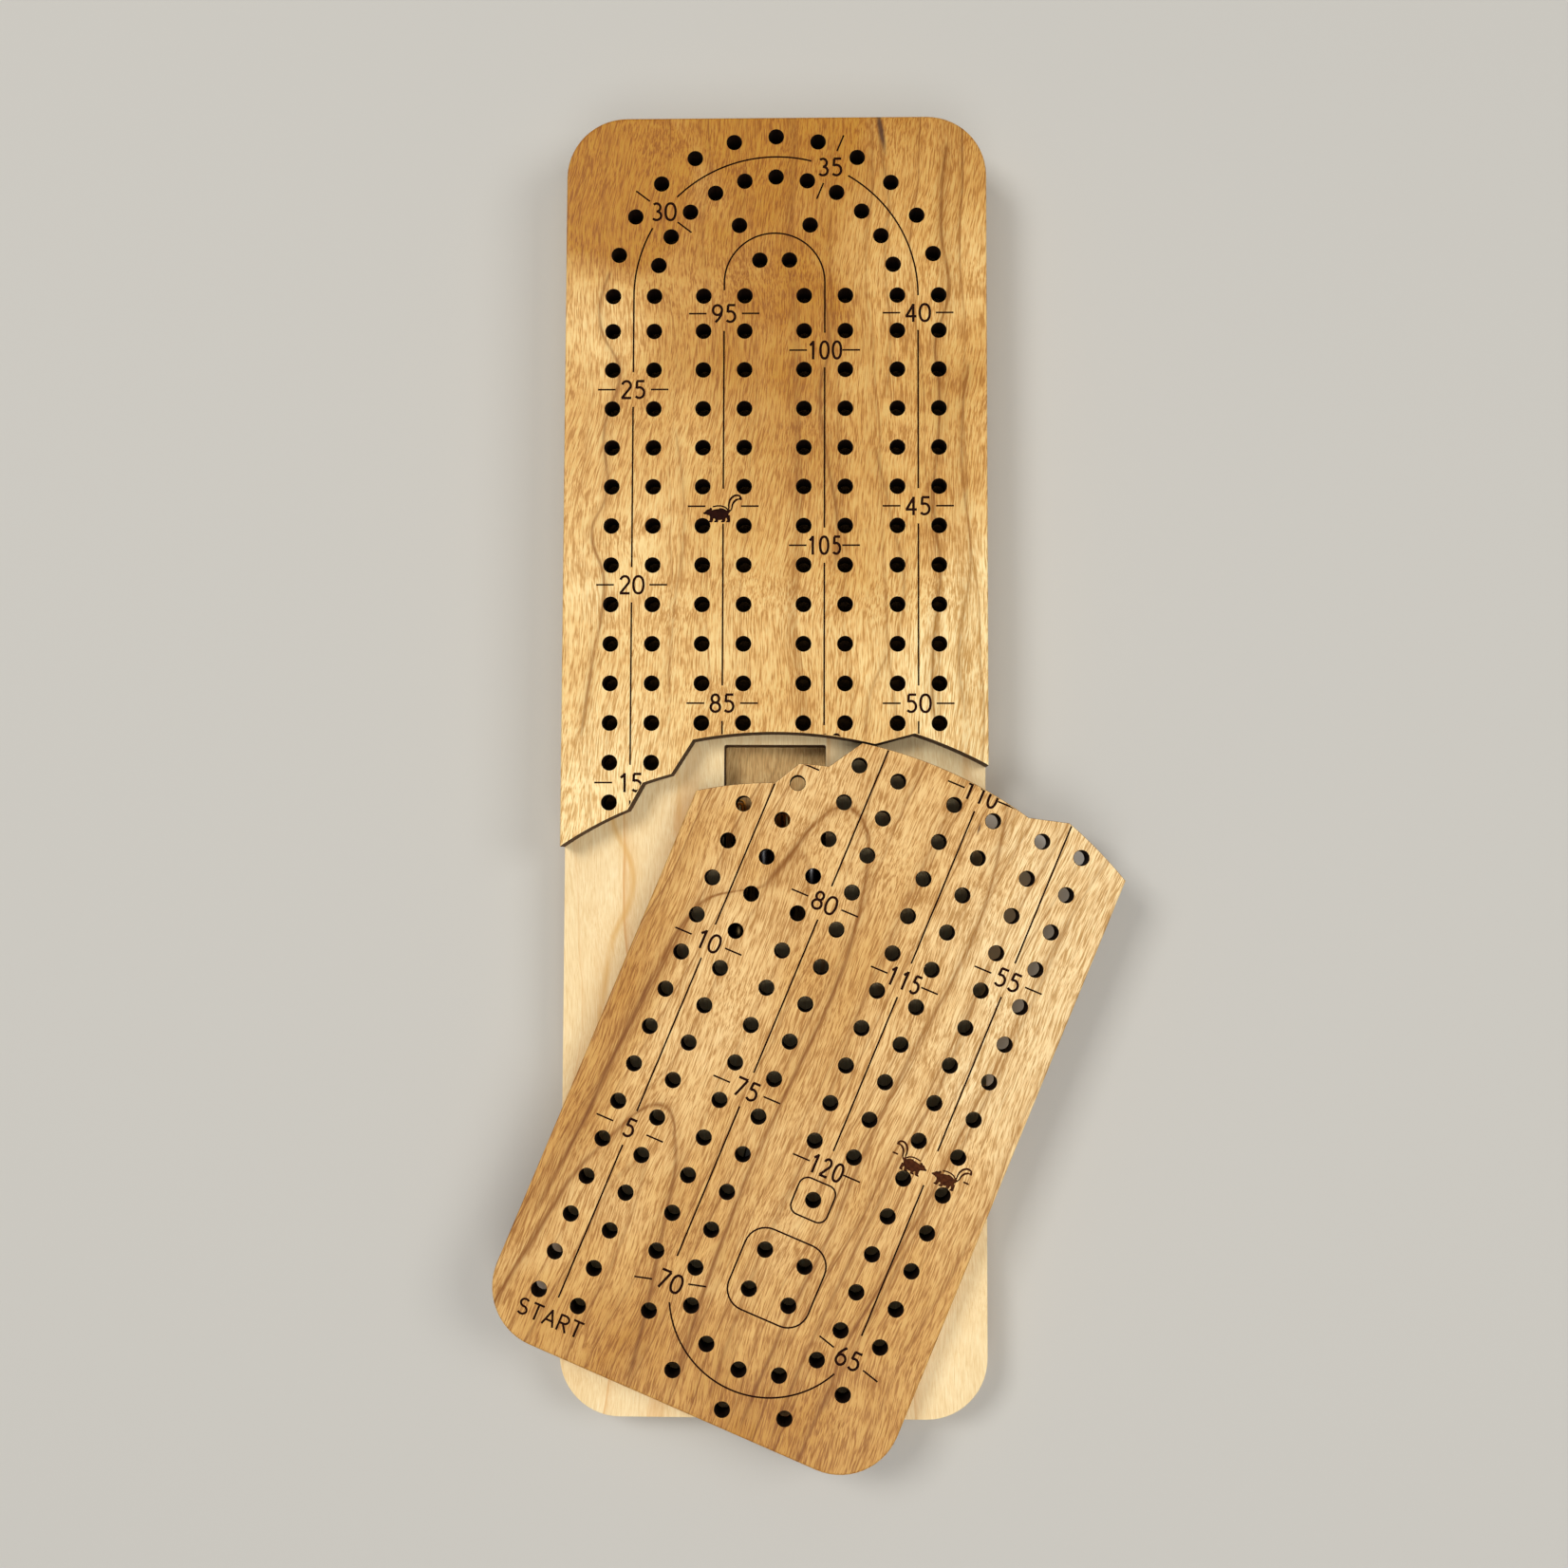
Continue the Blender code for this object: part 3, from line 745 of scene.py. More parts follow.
def wood(name, light, mid, dark, line, seed, pith=(0.0, -40.0), taper=0.12, spacing=5.0, ring_depth=0.5,
         wander=5.0, fibre=0.55, curl=0.25, broad=0.35, pores=0.3, rough=0.46, flecks=(), slant=0.0, lean_pith=0.0,
         depth=None, shade_and_sheen_pools=(), quiet=None, seams=(), seam_tint=None, turn=0.0):
    """Straight-grained timber cut from a log lying along Y: growth rings, fibre streaks, pores and figure."""
    t = Tree(name)
    t.turn = turn
    p = t.place()
    base = t.vec("ADD", p, (seed * 37.0, seed * 91.0, seed * 53.0))
    # slow wander of the grain
    slow = t.noise(t.vec("MULTIPLY", base, (0.022, 0.016, 0.03)), detail=2.0, rough=0.45, out="Color")
    shift = t.vec("MULTIPLY", t.vec("SUBTRACT", slow, (0.5, 0.5, 0.5)), (wander * 2, 0.0, wander * 2))
    small = t.noise(t.vec("MULTIPLY", base, (0.10, 0.035, 0.10)), detail=2.0, rough=0.5, out="Color")
    shift2 = t.vec("MULTIPLY", t.vec("SUBTRACT", small, (0.5, 0.5, 0.5)), (wander * 0.35, 0.0, wander * 0.35))
    warped = t.vec("ADD", t.vec("ADD", base, shift), shift2)
    split = t.add("ShaderNodeSeparateXYZ")
    t.link(t.vec("ADD", t.vec("ADD", p, shift), shift2), split.inputs[0])
    px, py, pz = split.outputs
    # growth rings round the pith
    dx = t.math("SUBTRACT", t.math("SUBTRACT", px, pith[0]), t.math("MULTIPLY", py, lean_pith))
    dz = t.math("ADD", t.math("SUBTRACT", pz, pith[1]), t.math("MULTIPLY", py, taper))
    radius = t.math("SQRT", t.math("ADD", t.math("MULTIPLY", dx, dx), t.math("MULTIPLY", dz, dz)))
    # years of fast and slow growth, each with a late-wood line of its own strength
    years = t.noise(t.vec("MULTIPLY", t.add_xyz(radius), (0.09, 0.09, 0.09)), detail=2.0)
    count = t.math("ADD", t.math("DIVIDE", radius, spacing), t.math("MULTIPLY", years, 2.4))
    rings = t.math("FRACT", count)
    year = t.add("ShaderNodeTexWhiteNoise", noise_dimensions="1D")
    t.link(t.math("FLOOR", t.math("ADD", count, seed * 13.0)), year.inputs["W"])
    ring = t.ramp(rings, [(0.0, 0.06), (0.40, 0.0), (0.72, 0.12), (0.90, 0.34), (0.94, 1.0), (0.97, 0.9), (1.0, 0.06)])
    ring_strength = t.ramp(t.noise(t.vec("MULTIPLY", base, (0.05, 0.02, 0.05)), detail=1.0), [(0.35, 0.45), (0.58, 1.0)])
    ring = t.math("MULTIPLY", ring, ring_strength)
    ring = t.math("MULTIPLY", ring, t.ramp(year.outputs["Value"], [(0.0, 0.45), (0.7, 1.0)]))
    if quiet:
        # the rings fade away from this side of the board
        ring = t.math("MULTIPLY", ring, t.ramp(t.math("MULTIPLY_ADD", px, quiet[0], quiet[1], clamp=True), [(0.0, quiet[2]), (1.0, 1.0)]))
    # fibre streaks, pores and cross-grain figure
    lean = t.add("ShaderNodeCombineXYZ")
    t.link(t.math("MULTIPLY", py, slant), lean.inputs[0])
    fibres = t.vec("ADD", warped, lean.outputs[0])
    f1 = t.noise(t.vec("MULTIPLY", fibres, (0.9, 0.08, 0.9)), detail=4.0, rough=0.6)
    f2 = t.noise(t.vec("MULTIPLY", fibres, (3.5, 0.21, 3.5)), detail=2.0, rough=0.55)
    f3 = t.noise(t.vec("MULTIPLY", fibres, (6.5, 0.42, 6.5)), detail=1.0, rough=0.5)
    pore = t.ramp(t.noise(t.vec("MULTIPLY", fibres, (5.2, 0.42, 5.2)), detail=1.0, rough=0.4), [(0.60, 0.0), (0.74, 1.0)])
    figure = t.noise(t.vec("MULTIPLY", warped, (0.09, 0.17, 0.09)), detail=4.0, rough=0.6, distortion=0.5)
    figure_area = t.ramp(t.noise(t.vec("MULTIPLY", base, (0.025, 0.018, 0.025)), detail=1.0), [(0.40, 0.0), (0.62, 1.0)])
    wide = t.noise(t.vec("MULTIPLY", warped, (0.06, 0.016, 0.06)), detail=3.0, rough=0.5)

    def swing(value, amount):
        return t.math("MULTIPLY", t.math("SUBTRACT", value, 0.5), amount)
    level = t.math("ADD", 0.5, swing(f1, fibre * 0.65))
    level = t.math("ADD", level, swing(f2, fibre * 3.1))
    level = t.math("ADD", level, swing(f3, fibre * 2.0))
    level = t.math("ADD", level, t.math("MULTIPLY", swing(figure, curl * 2.0), figure_area))
    level = t.math("ADD", level, swing(wide, broad * 1.6))
    level = t.math("SUBTRACT", level, t.math("MULTIPLY", ring, ring_depth * 0.30), clamp=True)
    colour = t.ramp(level, [(0.05, dark), (0.48, mid), (0.92, light)])
    colour = t.mix(t.math("MULTIPLY", ring, ring_depth, clamp=True), colour, line)
    colour = t.mix(t.math("MULTIPLY", pore, pores), colour, line)
    if seams:
        # single strong growth lines: (along X?, half width, strength, points)
        drawn = t.add("ShaderNodeSeparateXYZ")
        t.link(t.vec("ADD", p, shift2), drawn.inputs[0])
        lines = None
        for swap, width, strength, points in seams:
            run, side = (drawn.outputs[0], drawn.outputs[1]) if swap else (drawn.outputs[1], drawn.outputs[0])
            knots = sorted((a if swap else b, b if swap else a) for a, b in points)
            low, high = knots[0][0], knots[-1][0]
            node = t.add("ShaderNodeFloatCurve")
            curve = node.mapping.curves[0]
            while len(curve.points) < len(knots):
                curve.points.new(0.5, 0.5)
            for point, (a, b) in zip(curve.points, knots):
                point.location = ((a - low) / (high - low), (b + 150.0) / 300.0)
            node.mapping.update()
            t.link(t.math("DIVIDE", t.math("SUBTRACT", run, low), high - low, clamp=True), node.inputs["Value"])
            where = t.math("MULTIPLY_ADD", node.outputs["Value"], 300.0, -150.0)
            away = t.math("ABSOLUTE", t.math("SUBTRACT", side, where))
            core = t.math("SUBTRACT", 1.0, t.math("DIVIDE", away, width), clamp=True)
            halo = t.math("SUBTRACT", 1.0, t.math("DIVIDE", away, width * 4.5), clamp=True)
            body = t.math("ADD", t.math("MULTIPLY", t.math("POWER", core, 0.7), 1.10), t.math("MULTIPLY", halo, 0.44))
            fade = 1.5 if swap else 5.0
            ends = t.math("MULTIPLY", t.math("DIVIDE", t.math("SUBTRACT", run, low), fade, clamp=True),
                          t.math("DIVIDE", t.math("SUBTRACT", high, run), 1.5, clamp=True))
            body = t.math("MULTIPLY", t.math("MULTIPLY", body, ends), strength)
            lines = body if lines is None else t.math("MAXIMUM", lines, body)
        uneven = t.ramp(f1, [(0.36, 0.60), (0.57, 1.0)])
        colour = t.mix(t.math("MULTIPLY", lines, uneven, clamp=True), colour, seam_tint or line)
    if depth:
        # painted shade over the face of the board: a darkening that changes along Y (on the plate, darker toward its
        # top, where less light fell), a change across X, random drift in tone, and pools of painted shade and painted
        # sheen, all multiplied into the colour
        start, along, edge, ramp = depth
        drift = t.noise(t.vec("MULTIPLY", warped, (0.045, 0.03, 0.045)), detail=3.0, rough=0.55)
        shade_and_tone = t.math("ADD", t.math("ADD", start, t.math("MULTIPLY", py, along)), swing(drift, 0.9))
        shade_and_tone = t.math("ADD", shade_and_tone, t.math("MULTIPLY", t.math("MULTIPLY", px, px), edge))
        for cx, cy, rx, ry, amount in shade_and_sheen_pools:
            ux = t.math("DIVIDE", t.math("SUBTRACT", px, cx), rx)
            uy = t.math("DIVIDE", t.math("SUBTRACT", py, cy), ry)
            mask = t.math("SUBTRACT", 1.0, t.math("ADD", t.math("MULTIPLY", ux, ux), t.math("MULTIPLY", uy, uy)), clamp=True)
            shade_and_tone = t.math("ADD", shade_and_tone, t.math("MULTIPLY", mask, amount))
        colour = t.mix(1.0, colour, t.ramp(t.math("ADD", shade_and_tone, 0.0, clamp=True), ramp), "MULTIPLY")
    for fx, fy, fw, fl, lean_by, strength in flecks:
        # a mineral streak: a long thin spindle
        raw = t.add("ShaderNodeSeparateXYZ")
        t.link(p, raw.inputs[0])
        across = t.math("ADD", t.math("SUBTRACT", raw.outputs[0], fx), t.math("MULTIPLY", t.math("SUBTRACT", raw.outputs[1], fy), lean_by))
        across = t.math("DIVIDE", t.math("ADD", across, swing(figure, 0.9 * fw)), fw)
        along = t.math("DIVIDE", t.math("SUBTRACT", raw.outputs[1], fy), fl)
        reach = t.math("SQRT", t.math("ADD", t.math("MULTIPLY", across, across), t.math("MULTIPLY", along, along)))
        spot = t.ramp(reach, [(0.35, strength), (1.0, 0.0)])
        colour = t.mix(spot, colour, srgb(70, 38, 22))
    t.link(colour, t.shader.inputs["Base Color"])
    shine = t.math("ADD", rough, t.math("MULTIPLY", t.math("SUBTRACT", f2, 0.5), 0.22))
    t.link(t.math("ADD", shine, t.math("MULTIPLY", pore, 0.12)), t.shader.inputs["Roughness"])
    t.shader.inputs["Specular IOR Level"].default_value = 0.32
    height = t.math("SUBTRACT", t.math("ADD", t.math("MULTIPLY", f2, 0.5), t.math("MULTIPLY", f1, 0.35)),
                    t.math("ADD", t.math("MULTIPLY", pore, 0.75), t.math("MULTIPLY", ring, 0.12)))
    t.bump(height, 0.00006, 0.55)
    return t.mat


def charred(name, dark, brown, seed, rough=0.72, gloss=0.3):
    """A laser-cut wall: scorched, with fine streaks running through the thickness."""
    t = Tree(name)
    p = t.vec("ADD", t.place(), (seed * 11.0, seed * 17.0, 0.0))
    streak = t.noise(t.vec("MULTIPLY", p, (2.6, 2.6, 0.16)), detail=3.0, rough=0.6)
    patch = t.noise(t.vec("MULTIPLY", p, (0.22, 0.22, 0.35)), detail=2.0)
    level = t.math("ADD", t.math("MULTIPLY", streak, 0.65), t.math("MULTIPLY", patch, 0.45), clamp=True)
    t.link(t.ramp(level, [(0.32, dark), (0.75, brown)]), t.shader.inputs["Base Color"])
    t.shader.inputs["Roughness"].default_value = rough
    t.shader.inputs["Specular IOR Level"].default_value = gloss
    t.bump(streak, 0.00008, 0.6)
    return t.mat


def engraving(name, dark, brown, seed, toasted=(), turn=0.0):
    """The floor of a laser engraving: scorched brown with the raster's fine scan lines."""
    t = Tree(name)
    t.turn = turn
    p = t.vec("ADD", t.place(), (seed * 19.0, seed * 7.0, 0.0))
    split = t.add("ShaderNodeSeparateXYZ")
    t.link(p, split.inputs[0])
    scan = t.math("ADD", t.math("MULTIPLY", t.math("SINE", t.math("MULTIPLY", split.outputs[1], 42.0)), 0.5), 0.5)
    cloud = t.noise(t.vec("MULTIPLY", p, (1.4, 1.4, 1.4)), detail=3.0)
    level = t.math("ADD", t.math("MULTIPLY", cloud, 0.75), t.math("MULTIPLY", scan, 0.25), clamp=True)
    colour = t.ramp(level, [(0.3, dark), (0.8, brown)])
    for cx, cy, reach in toasted:
        # filled figures are burnt more lightly than the fine lines
        near = t.vec("LENGTH", t.vec("SUBTRACT", p, (cx + seed * 19.0, cy + seed * 7.0, 16.5)))
        colour = t.mix(t.ramp(t.math("DIVIDE", near, reach), [(0.8, 1.0), (1.0, 0.0)]), colour,
                       t.ramp(level, [(0.35, srgb(50, 22, 10)), (0.65, srgb(88, 46, 22))]))
    t.link(colour, t.shader.inputs["Base Color"])
    t.shader.inputs["Roughness"].default_value = 0.85
    t.shader.inputs["Specular IOR Level"].default_value = 0.08
    t.bump(level, 0.00006, 0.6)
    return t.mat


def metal(name, colour, worn, rough, seed, lathe=True):
    """Turned metal: fine tool rings across the axis (an even fine texture when lathe is off) and light handling wear.
    """
    t = Tree(name)
    p = t.vec("ADD", t.place(), (seed * 13.0, 0.0, seed * 5.0))
    split = t.add("ShaderNodeSeparateXYZ")
    t.link(p, split.inputs[0])
    cloud = t.noise(t.vec("MULTIPLY", p, (0.35, 0.35, 0.35)), detail=3.0)
    rings = t.noise(t.vec("MULTIPLY", p, (0.4, 14.0, 0.4) if lathe else (6.0, 6.0, 6.0)), detail=2.0)
    t.link(t.ramp(cloud, [(0.35, worn), (0.62, colour)]), t.shader.inputs["Base Color"])
    t.shader.inputs["Metallic"].default_value = 1.0
    t.link(t.math("ADD", rough, t.math("MULTIPLY", t.math("SUBTRACT", rings, 0.5), 0.18)), t.shader.inputs["Roughness"])
    t.bump(rings, 0.00001, 0.5)
    return t.mat


# multipliers for the painted shade and tone over a board's face, from no change to deep brown
SHADE_AND_TONE_RAMP = [(0.0, (1.0, 1.0, 1.0)), (0.22, (0.91, 0.82, 0.68)), (0.55, (0.75, 0.59, 0.36)), (1.0, (0.50, 0.295, 0.06))]
PLATE_SEAMS = (
    (False, 0.50, 0.62, ((36.5, 131.0), (35.0, 120.0), (35.0, 110.0), (36.5, 98.0), (33.5, 88.0), (34.5, 78.0), (34.0, 66.0),
                         (33.0, 55.0), (34.5, 40.0), (33.0, 22.0), (34.0, 5.0))),
    (False, 0.40, 0.40, ((21.0, 137.0), (22.3, 128.0), (23.5, 118.0), (23.0, 105.0), (24.5, 90.0), (23.0, 75.0))),
    (False, 0.42, 0.46, ((9.5, 100.0), (11.5, 88.0), (9.5, 78.0), (10.8, 64.0), (13.0, 50.0), (12.0, 38.0))),
    (False, 0.45, 0.36, ((20.5, 66.0), (24.5, 50.0), (27.0, 38.0), (26.0, 27.0), (20.0, 14.0), (19.0, 2.0))),
    (False, 0.50, 0.55, ((-34.5, 104.0), (-37.0, 92.0), (-32.5, 82.0), (-36.0, 70.0), (-35.5, 55.0), (-38.5, 48.0), (-36.0, 38.0),
                         (-38.0, 20.0), (-40.5, 2.0))),
    (False, 0.40, 0.30, ((-21.0, 70.0), (-19.0, 50.0), (-21.0, 30.0), (-22.0, 12.0))),
    (False, 0.45, 0.42, ((41.0, 84.0), (39.0, 62.0), (41.0, 44.0), (38.5, 24.0), (40.0, 8.0))))
LID_SEAMS = (
    (True, 0.75, 0.66, ((-21.6, 60.0), (-19.2, 68.0), (-16.5, 72.4), (-12.5, 73.4), (-9.5, 71.4), (-6.5, 67.0), (-4.4, 59.0))),
    (False, 0.62, 0.66, ((-17.0, 71.8), (-19.5, 67.0), (-21.0, 61.0), (-22.5, 55.0), (-24.5, 51.0), (-29.0, 48.5), (-33.0, 45.5),
                         (-35.5, 40.0), (-37.5, 28.0), (-39.0, 10.0), (-39.5, -10.0), (-41.5, -30.0))),
    (False, 0.55, 0.62, ((-9.3, 71.2), (-6.0, 65.5), (-4.0, 58.0), (-2.6, 48.0), (-2.4, 35.0), (-3.0, 18.0), (-4.0, -2.0), (-3.4, -22.0),
                         (-1.5, -50.0))),
    (True, 0.75, 0.60, ((-31.5, -5.0), (-29.0, 0.0), (-26.0, 2.2), (-23.0, 1.0), (-20.5, -3.0), (-18.6, -8.0))),
    (False, 0.60, 0.60, ((-29.6, -0.8), (-33.0, -8.0), (-36.0, -15.0), (-38.5, -27.0), (-41.0, -42.0), (-42.0, -52.0))),
    (False, 0.60, 0.62, ((-21.9, -0.6), (-18.5, -8.0), (-16.5, -17.0), (-14.0, -30.0), (-12.0, -40.0), (-10.0, -53.0))),
    (False, 0.55, 0.34, ((6.0, 90.0), (5.0, 70.0), (4.5, 40.0), (5.5, 10.0), (5.0, -20.0), (6.0, -50.0))),
    (False, 0.50, 0.55, ((15.5, 88.0), (18.5, 75.0), (20.0, 62.0), (19.5, 48.0), (17.5, 35.0), (16.8, 15.0), (15.8, -10.0), (14.5, -35.0),
                         (14.0, -53.0))),
    (False, 0.48, 0.50, ((25.0, 56.0), (25.5, 30.0), (23.0, 5.0), (21.5, -20.0), (21.0, -52.0))),
    (False, 0.48, 0.42, ((37.0, 70.0), (35.5, 35.0), (33.5, 10.0), (31.0, -15.0), (28.0, -45.0))))
# the plate darkens toward its top as painted shade, with pools of painted shade and painted sheen over its face
PLATE_WOOD = wood("cherry_plate", srgb(255, 232, 172), srgb(245, 206, 140), srgb(202, 156, 88), srgb(148, 97, 12), 1,
                  pith=(-150.0, -30.0), taper=0.03, spacing=8.6, ring_depth=0.8, wander=6.0, fibre=0.98, quiet=(0.025, 0.0, 0.38), curl=0.9,
                  broad=0.2, pores=0.14, slant=-0.10, flecks=((22.2, 133.5, 0.8, 6.2, 0.13, 0.9),), seams=PLATE_SEAMS,
                  depth=(0.265, 0.0061, -0.00013, SHADE_AND_TONE_RAMP),
                  shade_and_sheen_pools=((-34.0, 120.0, 18.0, 20.0, 0.58), (34.0, 112.0, 22.0, 34.0, -0.36), (-37.0, 92.0, 12.0, 18.0, -0.30),
                         (4.0, 84.0, 26.0, 22.0, 0.16), (-30.0, 55.0, 26.0, 30.0, -0.16), (42.0, 14.0, 18.0, 44.0, -0.40),
                         (20.0, 50.0, 18.0, 26.0, 0.10)))
# the lid's face carries pools of painted shade and painted sheen
LID_WOOD = wood("cherry_lid", srgb(254, 226, 170), srgb(238, 200, 141), srgb(194, 150, 88), srgb(146, 94, 12), 2,
                pith=(-23.6, 11.1), taper=0.069, lean_pith=0.08, spacing=5.2, ring_depth=0.8, wander=4.8, fibre=1.0,
                curl=0.8, broad=0.2, pores=0.16, slant=0.05, flecks=((12.6, 80.0, 0.32, 1.6, 0.1, 0.8),), seams=LID_SEAMS, turn=LID_ANGLE,
                depth=(0.48, -0.0012, 0.0, SHADE_AND_TONE_RAMP),
                shade_and_sheen_pools=((36.0, 60.0, 34.0, 66.0, -0.50), (10.0, -52.0, 60.0, 24.0, 0.22), (-24.0, 20.0, 14.0, 34.0, -0.20),
                       (-43.0, 12.0, 10.0, 52.0, 0.32)))
BACK_WOOD = wood("cherry_back", srgb(255, 218, 148), srgb(238, 190, 120), srgb(204, 154, 90), srgb(158, 110, 58), 3,
                 pith=(30.0, -50.0), taper=0.10, spacing=6.5, ring_depth=0.5, wander=6.0, fibre=0.65, curl=0.3,
                 broad=0.3, pores=0.25, rough=0.52)
MAPLE_WOOD = wood("maple_core", srgb(252, 232, 186), srgb(244, 217, 164), srgb(231, 198, 142), srgb(222, 170, 106), 4,
                  pith=(70.0, -60.0), taper=0.05, spacing=9.5, ring_depth=0.9, wander=6.0, fibre=0.45, curl=0.3,
                  broad=0.35, pores=0.06, rough=0.48, seam_tint=srgb(222, 172, 92),
                  seams=((False, 0.9, 0.50, ((-37.0, 30.0), (-35.0, 14.0), (-34.5, -12.0), (-30.0, -25.0), (-34.0, -39.0), (-37.0, -62.0),
                                             (-35.0, -90.0), (-37.0, -120.0))),
                         (False, 0.7, 0.30, ((-22.0, 6.0), (-20.0, -20.0), (-24.0, -60.0), (-20.0, -130.0))),
                         (False, 0.7, 0.30, ((30.0, 4.0), (27.0, -40.0), (31.0, -80.0), (29.0, -132.0)))))
# the peg-hole walls: laser char, darker than the outer cut walls as painted shade deep in the narrow holes
CHAR_HOLE_SHADED = charred("laser_cut_hole_char_and_shade", srgb(14, 8, 5), srgb(46, 28, 15), 2, 0.85, 0.12)
# the peg-hole floors: the maple at the foot of each hole, coloured dark brown as painted shade, using the scorched-wall
# shader
SHADED_HOLE_FLOOR = charred("peg_hole_floor_painted_shade", srgb(50, 36, 22), srgb(118, 88, 54), 3, 0.9, 0.1)
CHAR = charred("laser_cut_wall", srgb(30, 19, 12), srgb(88, 58, 34), 1)
ENGRAVED = engraving("engraving", srgb(22, 7, 4), srgb(52, 20, 10), 1)
ENGRAVED_LID = engraving("engraving_lid", srgb(22, 7, 4), srgb(52, 20, 10), 2, ((25.5, 11.5, 5.6), (34.5, 11.5, 5.6)), turn=LID_ANGLE)
BRASS = metal("turned_brass", (0.86, 0.62, 0.27), (0.70, 0.47, 0.19), 0.24, 1)
STEEL = metal("turned_steel", (0.62, 0.62, 0.62), (0.48, 0.48, 0.49), 0.30, 2)
ZINC = metal("zinc_screw", (0.66, 0.67, 0.70), (0.52, 0.53, 0.57), 0.34, 3, lathe=False)


def dress(obj, materials):
    for m in materials:
        obj.data.materials.append(m)
    return obj


# ------------------------------------------------------------------ the wooden layers
plate_points, plate_kinds = plate_outline()
track_plate = build_plate("engraved_track_plate", plate_points, plate_kinds, plate_holes(), Z_CORE[1], Z_PLATE[1], shapes,
                         floored=True)
dress(track_plate, [PLATE_WOOD, CHAR, ENGRAVED, CHAR_HOLE_SHADED, SHADED_HOLE_FLOOR])
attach(track_plate, "base")
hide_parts("fixed_track_plate")

lid_points, lid_kinds = lid_outline()
local = [[[p - PIVOT for p in loop] for loop in shape] for shape in shapes]
lid = build_plate("engraved_lid", [p - PIVOT for p in lid_points], lid_kinds, [h - PIVOT for h in lid_holes()],
                  Z_LID[0], Z_LID[1], local, low_round=0.25, blind=[((0.0, 0.0), 3.3, 5.15)])
dress(lid, [LID_WOOD, CHAR, ENGRAVED_LID, CHAR_HOLE_SHADED])
lid.data.transform(Matrix.Rotation(LID_ANGLE, 4, "Z"))
lid.matrix_world = Matrix.Translation((PIVOT.x * MM, PIVOT.y * MM, 0.0))
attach(lid, "lid")
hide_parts("swing_lid")


def ring_points(cx, cy, r, z, sides):
    return [((cx + r * math.cos(2 * math.pi * k / sides)) * MM, (cy + r * math.sin(2 * math.pi * k / sides)) * MM, z * MM)
            for k in range(sides)]


def layered(name, outline, kinds, z_low, z_high, openings, top_round=0.0, low_round=0.0):
    """A plate whose openings are given as lists of (loop, z) from the top face down to the bottom face;
    each opening's wall is laser-cut. Face materials: 0 wood, 1 cut wall."""
    verts, faces, mats, smooth = [], [], [], []

    def vert(x, y, z):
        verts.append((x * MM, y * MM, z * MM))
        return len(verts) - 1

    def cap(outer, inner, z, up):
        flat, tris, chains = triangulate([outer] + inner)
        ids = {}
        for chain in chains:
            for c in chain:
                if c[0] not in ids:
                    ids[c[0]] = vert(flat[c[0]].x, flat[c[0]].y, z)
        xy = np.array([(p.x, p.y) for p in flat])
        tri = np.array([t for t in tris if len(t) == 3])
        mid = xy[tri].mean(1)
        keep = inside_many(mid[:, 0], mid[:, 1], outer)
        for loop in inner:
            keep &= ~inside_many(mid[:, 0], mid[:, 1], loop)
        for t in tri[keep]:
            a, b, c = (int(v) for v in t)
            cross = (xy[b][0] - xy[a][0]) * (xy[c][1] - xy[a][1]) - (xy[b][1] - xy[a][1]) * (xy[c][0] - xy[a][0])
            if (cross < 0) == up:
                b, c = c, b
            faces.append([ids[a], ids[b], ids[c]])
            mats.append(0)
            smooth.append(False)
        return [[ids[c[0]] for c in chain] for chain in chains]

    def wall(upper, lower, mat, soft=True):
        n = len(upper)
        for i in range(n):
            j = (i + 1) % n
            faces.append([lower[i], lower[j], upper[j], upper[i]])
            mats.append(mat)
            smooth.append(soft)

    def eased(radius):
        if not radius:
            return [(0.0, 0.0)]
        return [(radius * (1 - math.sin(math.radians(a))), radius * (1 - math.cos(math.radians(a)))) for a in (0, 30, 60, 90)]

    def shrink(amount):
        return offset_loop(outline, kinds, {"side": amount, "cut": amount}) if amount else outline

    tops = eased(top_round)
    lows = eased(low_round)
    high = cap(shrink(tops[0][0]), [o[0][0] for o in openings], z_high, True)
    low = cap(shrink(lows[0][0]), [o[-1][0] for o in openings], z_low, False)
    rings = [high[0]]
    for inset, fall in tops[1:]:
        rings.append([vert(p.x, p.y, z_high - fall) for p in shrink(inset)])
    for inset, fall in reversed(lows[1:]):
        rings.append([vert(p.x, p.y, z_low + fall) for p in shrink(inset)])
    rings.append(low[0])
    for upper, lower in zip(rings, rings[1:]):
        wall(upper, lower, 0)
    for k, opening in enumerate(openings):
        rings = [high[k + 1]]
        for loop, z in opening[1:-1]:
            rings.append([vert(p.x, p.y, z) for p in loop])
        rings.append(low[k + 1])
        for upper, lower in zip(rings, rings[1:]):
            wall(upper, lower, 1)
    mesh = bpy.data.meshes.new(name)
    mesh.from_pydata(verts, [], faces)
    mesh.polygons.foreach_set("material_index", mats)
    mesh.polygons.foreach_set("use_smooth", smooth)
    bm = bmesh.new()
    bm.from_mesh(mesh)
    bmesh.ops.remove_doubles(bm, verts=bm.verts, dist=2e-7)
    bmesh.ops.recalc_face_normals(bm, faces=bm.faces)
    bm.to_mesh(mesh)
    bm.free()
    mesh.set_sharp_from_angle(angle=math.radians(38))
    mesh.validate()
    obj = bpy.data.objects.new(name, mesh)
    bpy.context.scene.collection.objects.link(obj)
    return obj


def clockwise(cx, cy, r, sides=40):
    return [Vector((cx + r * math.cos(-2 * math.pi * k / sides), cy + r * math.sin(-2 * math.pi * k / sides))) for k in range(sides)]


board_points, board_kinds = board_outline()
x0, x1, y0, y1 = POCKET


